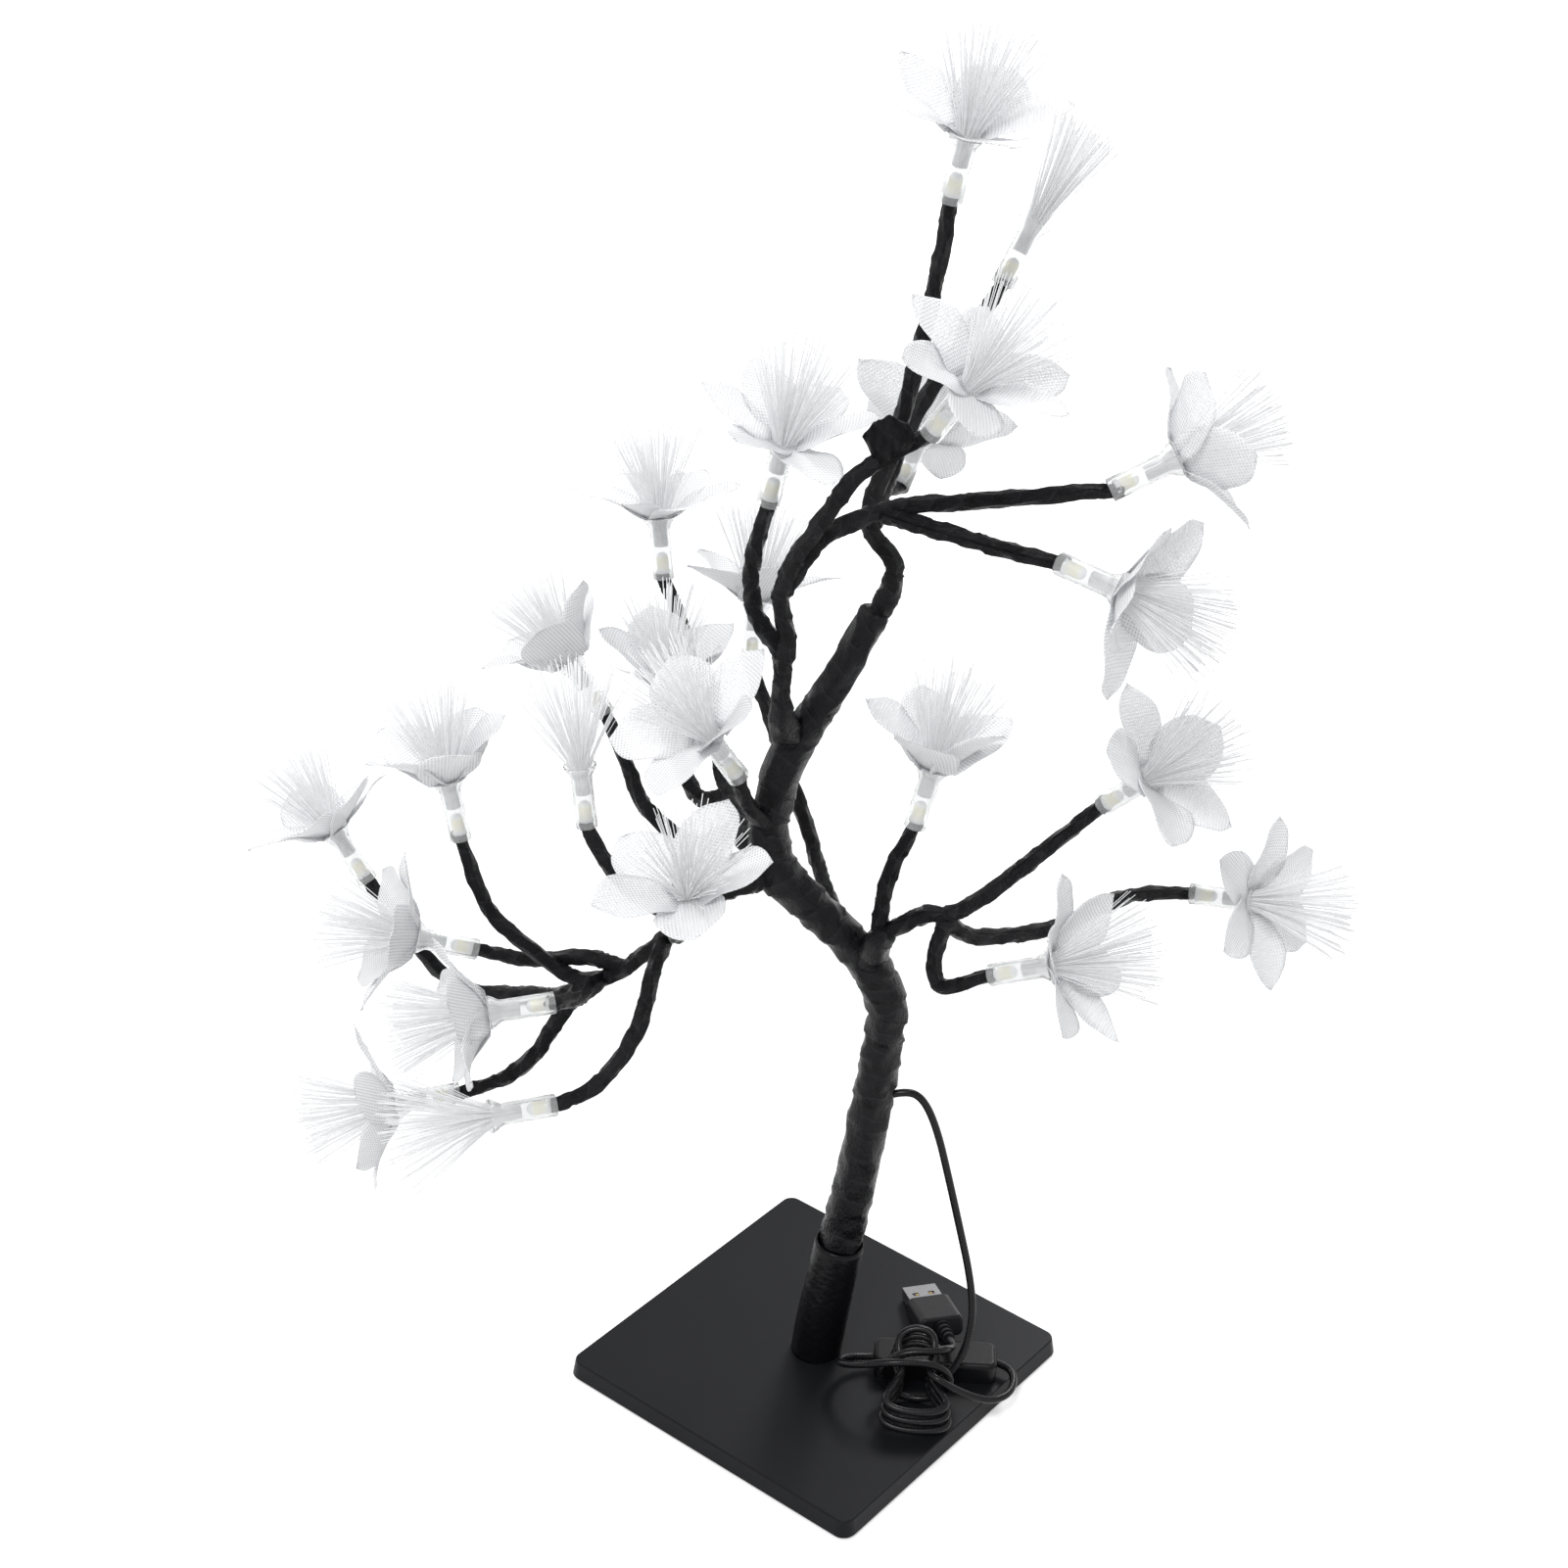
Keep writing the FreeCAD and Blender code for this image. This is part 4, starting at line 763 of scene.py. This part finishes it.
def tapeTab():  # a loose end of tape folded over on itself where a twig meets its head: straight
    # lines between pairs of low and high corners, moved to and fro by two sines and a jitter
    c = np.array(tab["corners"], float)
    s = np.linspace(0, len(c) - 1, tab["cols"])
    first = np.minimum(s.astype(int), len(c) - 2)
    share = (s - first)[:, None, None]
    edges = c[first] * (1 - share) + c[first + 1] * share
    t = np.linspace(0, 1, tab["rows"])[:, None]
    sheet = edges[None, :, 0] * (1 - t[..., None]) + edges[None, :, 1] * t[..., None]
    for size, alongWave, upWave in tab["waves"]:
        sheet[..., 1] += tab["crumple"] * size * np.sin(s * alongWave + upWave * t)
    sheet[..., 2] += np.random.default_rng(tab["seed"]).normal(0, tab["jitter"], sheet.shape[:2])
    uv = np.stack(np.broadcast_arrays(t, 5 * s[None, :]), -1).reshape(-1, 2)
    return sheet.reshape(-1, 3), gridFaces(tab["rows"], tab["cols"], closed=False), noTris, uv


def thicken(obj, thickness):  # half of the thickness to each side of the sheet
    solid = obj.modifiers.new("thickness", "SOLIDIFY")
    solid.thickness, solid.offset = thickness * mm, 0.0


thicken(addTaped("foldedTape", [tapeTab()], "limb_upper_arm"), tab["thick"])
print("tape", twigs, "twigs")

foot = dict(length=48.0, wall=0.6, gap=0.1, wave=0.12, waveLength=6.0, sides=48, perSpan=30,
            radiusAt=[0, 24, 84])


def footPart():  # a thin wall carried up the foot of the trunk: out and up, then in and down
    path = smoothPath(trunk["route"][:3], foot["perSpan"])
    along = alongOf(path)
    keep = along <= foot["length"]
    path, along = path[keep], along[keep]
    radii = np.interp(along, foot["radiusAt"], trunk["radius"][:3])
    tangent = unit(np.gradient(path, axis=0))
    tangent[0] = (0, 0, 1)
    side = unit(np.array([1.0, 0, 0]) - tangent * tangent[:, :1])
    up = np.cross(tangent, side)
    inner = radii + foot["gap"]
    outer = inner + foot["wall"] + foot["wave"] * np.sin(along / foot["waveLength"])
    order = np.concatenate([np.arange(len(path)), np.arange(len(path))[::-1]])
    r = np.concatenate([outer, inner[::-1]])[:, None]
    a = np.linspace(0, 2 * np.pi, foot["sides"], endpoint=False)[None, :]
    rows, sides = len(order), foot["sides"]
    quads = np.vstack([gridFaces(rows, sides), lastToFirst(rows, sides)])
    verts = ringsOn(path[order], side[order], up[order], r, a)
    return verts, quads, noTris, np.zeros((len(verts), 2))


footSleeve = addMesh("footSleeve", footPart(), made["footSleeve"])
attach(footSleeve, "stand")
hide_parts("trunk_sleeve")

# A lamp head is drawn upright, in millimetres above its twig's end, and then set on that end.
sleeve = dict(bore=2.9, wall=0.6, length=20.5, flare=4.0, lip=5.3, sides=26, flareSteps=9,
              lipRise=0.22, lipRound=0.1, footRound=0.15, footRise=0.3)
light = dict(radius=2.3, length=7.0, sides=20, foot=0.7, body=0.86, dome=0.9, domeSteps=8, domeEnd=0.94,
             collar=(0.05, 0.15, 1.2, 1.5))
tuft = {  # pairs are the least share and what a random draw adds to it
    "fibres": 150, "length": 36.0, "spread": 19.5, "radius": 0.2, "taper": 0.25, "rows": 7,
    "bundle": 2.3, "fill": 0.93, "start": 11.0, "goldenTurn": 2.39996, "turnJitter": 0.12,
    "reach": (0.84, 0.13), "cut": (0.86, 0.12), "ceiling": (0.93, 0.04), "rise": 0.99,
    "straight": 0.20, "bendPower": 1.14, "sway": 0.035,
}
whorl = {  # a petal's half width is halfWidths over the number of petals
    "length": 28.0, "lengthShare": (0.93, 0.99), "halfWidths": 53.2, "hub": 5.2, "hole": 3.2,
    "seat": 20.9, "rows": 14, "cols": 11, "rowSpan": (0.06, 0.5), "thick": 0.16, "leafStart": 0.13,
    "leafPower": 1.12, "leafRound": 0.52, "leastHalf": 0.3, "turnJitter": 0.05, "riseJitter": 6,
    "bow": (0.10, 0.10),
    "bowFrom": 0.4, "curl": (0.10, 0.26), "curlStart": 0.08, "twist": 0.10, "tipRound": 0.05,
    "edgeWave": 0.05, "edgeWaves": 3.2, "under": 1.6, "discOver": 1.2, "discLift": 0.12,
    "discSides": 40, "weaveShift": 9,
}


def lathe(profile, sides, hollow):  # (radius, height) points turned round the head's axis; a hollow
    # profile closes on itself, and a full one has its first and last ring filled in
    profile = np.asarray(profile, float)
    rows = len(profile)
    a = np.linspace(0, 2 * np.pi, sides, endpoint=False)
    verts = np.stack([profile[:, :1] * np.cos(a), profile[:, :1] * np.sin(a),
                      np.repeat(profile[:, 1:], sides, axis=1)], -1).reshape(-1, 3)
    quads = gridFaces(rows, sides)
    v = np.linspace(0, 1, rows)[:, None]
    uv = np.stack(np.broadcast_arrays(a[None, :] / (2 * np.pi), v), -1).reshape(-1, 2)
    if hollow:
        return verts, np.vstack([quads, lastToFirst(rows, sides)]), noTris, uv
    verts = np.vstack([verts, [[0, 0, profile[0, 1]], [0, 0, profile[-1, 1]]]])
    return verts, quads, endFans(rows, sides), np.vstack([uv, [[0, 0]], [[0, 1]]])


def sleevePart():  # a straight wall that opens to the lip by an S curve over the flare's length
    bore, wall, lip, top = sleeve["bore"], sleeve["wall"], sleeve["lip"], sleeve["length"]
    outer, flare = bore + wall, top - sleeve["flare"]
    s = np.linspace(0, 1, sleeve["flareSteps"])
    easing = s * s * (3 - 2 * s)
    up = flare + sleeve["flare"] * s
    outside = np.column_stack([outer + (lip - outer) * easing, up]).tolist()
    inside = np.column_stack([bore + (lip - wall - bore) * easing, up])[::-1].tolist()
    over = [(lip - sleeve["lipRound"], top + sleeve["lipRise"]),
            (lip - wall + sleeve["lipRound"], top + sleeve["lipRise"])]
    low = [(outer - sleeve["footRound"], 0.0), (outer, sleeve["footRise"]), (outer, flare / 2)]
    back = [(bore, flare / 2), (bore, sleeve["footRise"]), (bore + sleeve["footRound"], 0.0)]
    return lathe(low + outside + over + inside + back, sleeve["sides"], True)


def lightPart():  # a collar at its foot, a straight body, and a domed top
    r, start = light["radius"], twig["plugIn"]
    top, dome = start + light["length"], r * light["dome"]
    heights = start + np.array(light["collar"])
    shares = [light["foot"], 1, 1, light["body"]]
    a = np.linspace(0, np.pi / 2 * light["domeEnd"], light["domeSteps"])
    cap = np.column_stack([r * light["body"] * np.cos(a), top - dome + dome * np.sin(a)])
    collar = np.column_stack([r * np.array(shares), heights])
    return lathe(np.vstack([collar, cap]), light["sides"], False)


def tuftPart(source, narrow):
    # each fibre leaves the bundle straight and bends outwards: its distance from the axis grows by
    # a power of the way along it, and its tip is cut at its own length
    n, rows = tuft["fibres"], tuft["rows"]

    def drawn(pair):  # its least share, and more at random
        return pair[0] + pair[1] * source.random(n)

    order = np.arange(n)
    share = np.sqrt((order + 0.5) / n)
    turn = order * tuft["goldenTurn"] + source.normal(0, tuft["turnJitter"], n)
    inBundle = tuft["bundle"] * tuft["fill"] * share
    reach = tuft["spread"] * narrow * share * drawn(tuft["reach"])
    length = tuft["length"] * drawn(tuft["cut"])
    height = np.sqrt(np.maximum(length ** 2 - reach ** 2, 1)) * tuft["rise"]
    height = np.minimum(height, tuft["length"] * drawn(tuft["ceiling"]))
    t = np.linspace(0, 1, rows)
    grow = np.maximum((t - tuft["straight"]) / (1 - tuft["straight"]), 0) ** tuft["bendPower"]
    z = tuft["start"] + (sleeve["length"] - tuft["start"] + height)[:, None] * t[None, :]
    radial = inBundle[:, None] + (reach - inBundle)[:, None] * grow[None, :]
    sway = source.normal(0, tuft["sway"], n)[:, None] * grow[None, :] + turn[:, None]
    centre = np.stack([radial * np.cos(sway), radial * np.sin(sway), z], -1)
    outwards = np.stack([np.cos(sway), np.sin(sway), np.zeros_like(sway)], -1)
    around = np.stack([-np.sin(sway), np.cos(sway), np.zeros_like(sway)], -1)
    a = np.array([0, 2, 4]) * np.pi / 3  # each filament is three-sided
    r = tuft["radius"] * (1 - tuft["taper"] * t)[None, :, None, None]
    ring = centre[:, :, None, :] + r * (outwards[:, :, None, :] * np.cos(a)[:, None]
                                        + around[:, :, None, :] * np.sin(a)[:, None])
    first = order[:, None] * rows * 3
    quads = (gridFaces(rows, 3)[None] + first[:, :, None]).reshape(-1, 4)
    caps = np.vstack([first + np.array([[2, 1, 0]]), first + (rows - 1) * 3 + np.array([[0, 1, 2]])])
    alongIt = t[None, :, None] * np.ones((1, 1, 3))
    uv = np.stack(np.broadcast_arrays(order[:, None, None] / n, alongIt), -1)
    return ring.reshape(-1, 3), quads, caps, uv.reshape(-1, 2)


def whorlPart(count, opening, source):
    # petal(u, v): v runs from hub to tip, u across. Width = a rounded leaf, cup = u^2, the edge
    # curls and waves, and the whole rises from the hub at the opening angle
    rows, cols = whorl["rows"], whorl["cols"]
    v = np.sin(np.linspace(*whorl["rowSpan"], rows) * np.pi)[:, None]  # rows crowd towards the tip
    v = (v - v[0]) / (v[-1] - v[0])
    u = np.linspace(-1, 1, cols)[None, :]
    halfWidth = whorl["halfWidths"] / count
    leaf = whorl["leafStart"] + (1 - whorl["leafStart"]) * v ** whorl["leafPower"]
    across = u * np.maximum(halfWidth * np.sin(np.pi * leaf) ** whorl["leafRound"], whorl["leastHalf"])
    curlShape = u ** 2 * np.sin(np.pi * np.clip(v, whorl["curlStart"], 1))
    lift = np.array([0, 0, 1.0])
    parts = []
    for k in range(count):
        middle = 2 * np.pi * k / count + source.normal(0, whorl["turnJitter"])
        rise = np.radians(opening + source.normal(0, whorl["riseJitter"]))
        bow = source.normal(*whorl["bow"])
        curl = source.uniform(*whorl["curl"])
        wave = source.uniform(0, 2 * np.pi)
        twist = source.normal(0, whorl["twist"])
        length = whorl["length"] * source.uniform(*whorl["lengthShare"])
        outwards = np.array([np.cos(middle), np.sin(middle), 0])
        sideways = np.array([-np.sin(middle), np.cos(middle), 0])
        tilt = (rise + bow * (v - whorl["bowFrom"]))[..., None]
        distance = length * (v - whorl["tipRound"] * v ** 4 * u * u)
        slope = outwards * np.sin(tilt) + lift * np.cos(tilt)
        inwards = lift * np.sin(tilt) - outwards * np.cos(tilt)
        edge = whorl["edgeWave"] * np.sin(whorl["edgeWaves"] * np.pi * v + wave) * u ** 3
        cup = halfWidth * (curl * curlShape + edge) + twist * across * v
        surface = (outwards * (whorl["hub"] - whorl["under"]) + lift * whorl["seat"]
                   + slope * distance[..., None] + sideways * across[..., None]
                   + inwards * cup[..., None])
        uv = np.stack([across, distance], -1).reshape(-1, 2) + source.uniform(0, whorl["weaveShift"], 2)
        parts.append((surface.reshape(-1, 3), gridFaces(rows, cols, closed=False), noTris, uv))
    a = np.linspace(0, 2 * np.pi, whorl["discSides"], endpoint=False)[None, :]
    r = np.array([whorl["hole"], whorl["hub"] + whorl["discOver"]])[:, None]
    disc = np.stack([r * np.cos(a), r * np.sin(a), 0 * r * a + whorl["seat"] + whorl["discLift"]], -1)
    disc = disc.reshape(-1, 3)
    parts.append((disc, gridFaces(2, whorl["discSides"]), noTris, disc[:, :2]))
    return joined(parts)


def setOn(part, end, facing, spin):  # turned by spin about its own axis, then its axis along facing
    turnTo = Vector((0, 0, 1)).rotation_difference(Vector(unit(facing))) @ Matrix.Rotation(
        np.radians(spin), 3, "Z").to_quaternion()
    rotation = np.array(turnTo.to_matrix())
    verts, quads, tris, uv = part
    return verts @ rotation.T + np.asarray(end, float), quads, tris, uv


spreadOf = {(41, 60, 372): 0.72, (-79, 6, 209): 1.2, (-83, -52, 144): 1.18}  # bare heads' own fans
leanOf = {(116, 40, 174): (0.72, -0.62, 0.30), (-44, -50, 210): (-0.25, -0.12, 0.96)}  # pushed whorls
headSpin = 31.0  # each head of a limb is turned on by this much, so that no two look the same
oneSleeve, oneLight = sleevePart(), lightPart()
for name, limb in limbs.items():
    body = "stand" if name == "trunk" else "limb_%s_arm" % name
    sleeves, lights, tufts, whorls = [], [], [], []
    for n, (end, facing, petals, opening) in enumerate(limb["heads"]):
        spin = headSpin * n
        source = np.random.default_rng(400 + 17 * n + len(limb["heads"]) + ord(name[0]))
        sleeves.append(setOn(oneSleeve, end, facing, spin))
        lights.append(setOn(oneLight, end, facing, spin))
        tufts.append(setOn(tuftPart(source, spreadOf.get(end, 1.0)), end, facing, spin))
        if petals:
            verts, quads, tris, uv = whorlPart(petals, opening, source)
            seat = np.asarray(end) + unit(facing) * whorl["seat"]
            whorls.append(setOn((verts - [0, 0, whorl["seat"]], quads, tris, uv), seat,
                                leanOf.get(end, facing), spin))
    label = name.capitalize()
    for title, parts, finish, node, slotName in (
            ("sleeves" + label, sleeves, "clearSleeve", "sleeves_" + name, "clear_sleeve"),
            ("lights" + label, lights, "lightBody", "lights_" + name, "light"),
            ("fibres" + label, tufts, "opticalFibre", "fibres_" + name, "fibre"),
            ("petals" + label, whorls, "gauze", "petals_" + name, "gauze")):
        obj = addMesh(title, joined(parts), made[finish])
        if finish == "gauze":
            thicken(obj, whorl["thick"])
        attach(obj, body)
        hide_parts(node)
print("heads", sum(len(limb["heads"]) for limb in limbs.values()))

# Floor and light. Each lamp is (power, place, size).
room = dict(floorSize=6.0, floorColour=0.86, floorRough=0.9, floorLift=0.34, fade=(0.5, 1.3),
            world=0.52, key=(24.0, (0.5, -1.2, 2.0), 0.55), fill=(12.0, (-1.7, -0.5, 1.3), 0.8),
            rim=(18.0, (-0.4, 1.6, 1.6), 0.55), aim=(0, 0, 0.22))  # in metres and watts
floorMesh = bpy.data.meshes.new("floor")
half = room["floorSize"] / 2
floorMesh.from_pydata([(-half, -half, 0), (half, -half, 0), (half, half, 0), (-half, half, 0)], [],
                      [(0, 1, 2, 3)])
floor = bpy.data.objects.new("floor", floorMesh)
bpy.context.scene.collection.objects.link(floor)
floorMaterial, floorNodes, floorLinks, floorShader = newMaterial("floorWhite")
setInputs(floorShader, Base_Color=rgba(room["floorColour"]), Roughness=room["floorRough"],
          Emission_Color=rgba(1.0))
# The floor looks whiter than it lights, and it is plain white where it is far from the lamp.
floorReach = floorNodes.new("ShaderNodeVectorMath")
floorReach.operation = "LENGTH"
floorLinks.new(floorNodes.new("ShaderNodeTexCoord").outputs["Object"], floorReach.inputs[0])
floorLift = mapRange(floorNodes, floorLinks, floorReach.outputs["Value"], room["floorLift"], 1.0,
                     *room["fade"])
floorGlow = mathNode(floorNodes, floorLinks, "MULTIPLY", seenRays(floorNodes, floorLinks), floorLift)
floorLinks.new(floorGlow, floorShader.inputs["Emission Strength"])
floorMesh.materials.append(floorMaterial)

world = bpy.data.worlds.new("studio")
bpy.context.scene.world = world
world.use_nodes = True
skyNodes, skyLinks = world.node_tree.nodes, world.node_tree.links
skyLevel = mapRange(skyNodes, skyLinks, seenRays(skyNodes, skyLinks), room["world"], 1.0)  # white where
# it is seen, and the room's level where it lights
skyLinks.new(skyLevel, skyNodes["Background"].inputs["Strength"])
setInputs(skyNodes["Background"], Color=rgba(1.0))
for title in ("key", "fill", "rim"):
    power, place, size = room[title]
    lampData = bpy.data.lights.new(title, "AREA")
    lampData.energy, lampData.size = power, size
    lamp = bpy.data.objects.new(title, lampData)
    towards = (Vector(room["aim"]) - Vector(place)).to_track_quat("-Z", "Y")
    lamp.matrix_world = Matrix.Translation(place) @ towards.to_matrix().to_4x4()
    bpy.context.scene.collection.objects.link(lamp)
bpy.context.scene.view_settings.view_transform = "Standard"
print("floor and light")
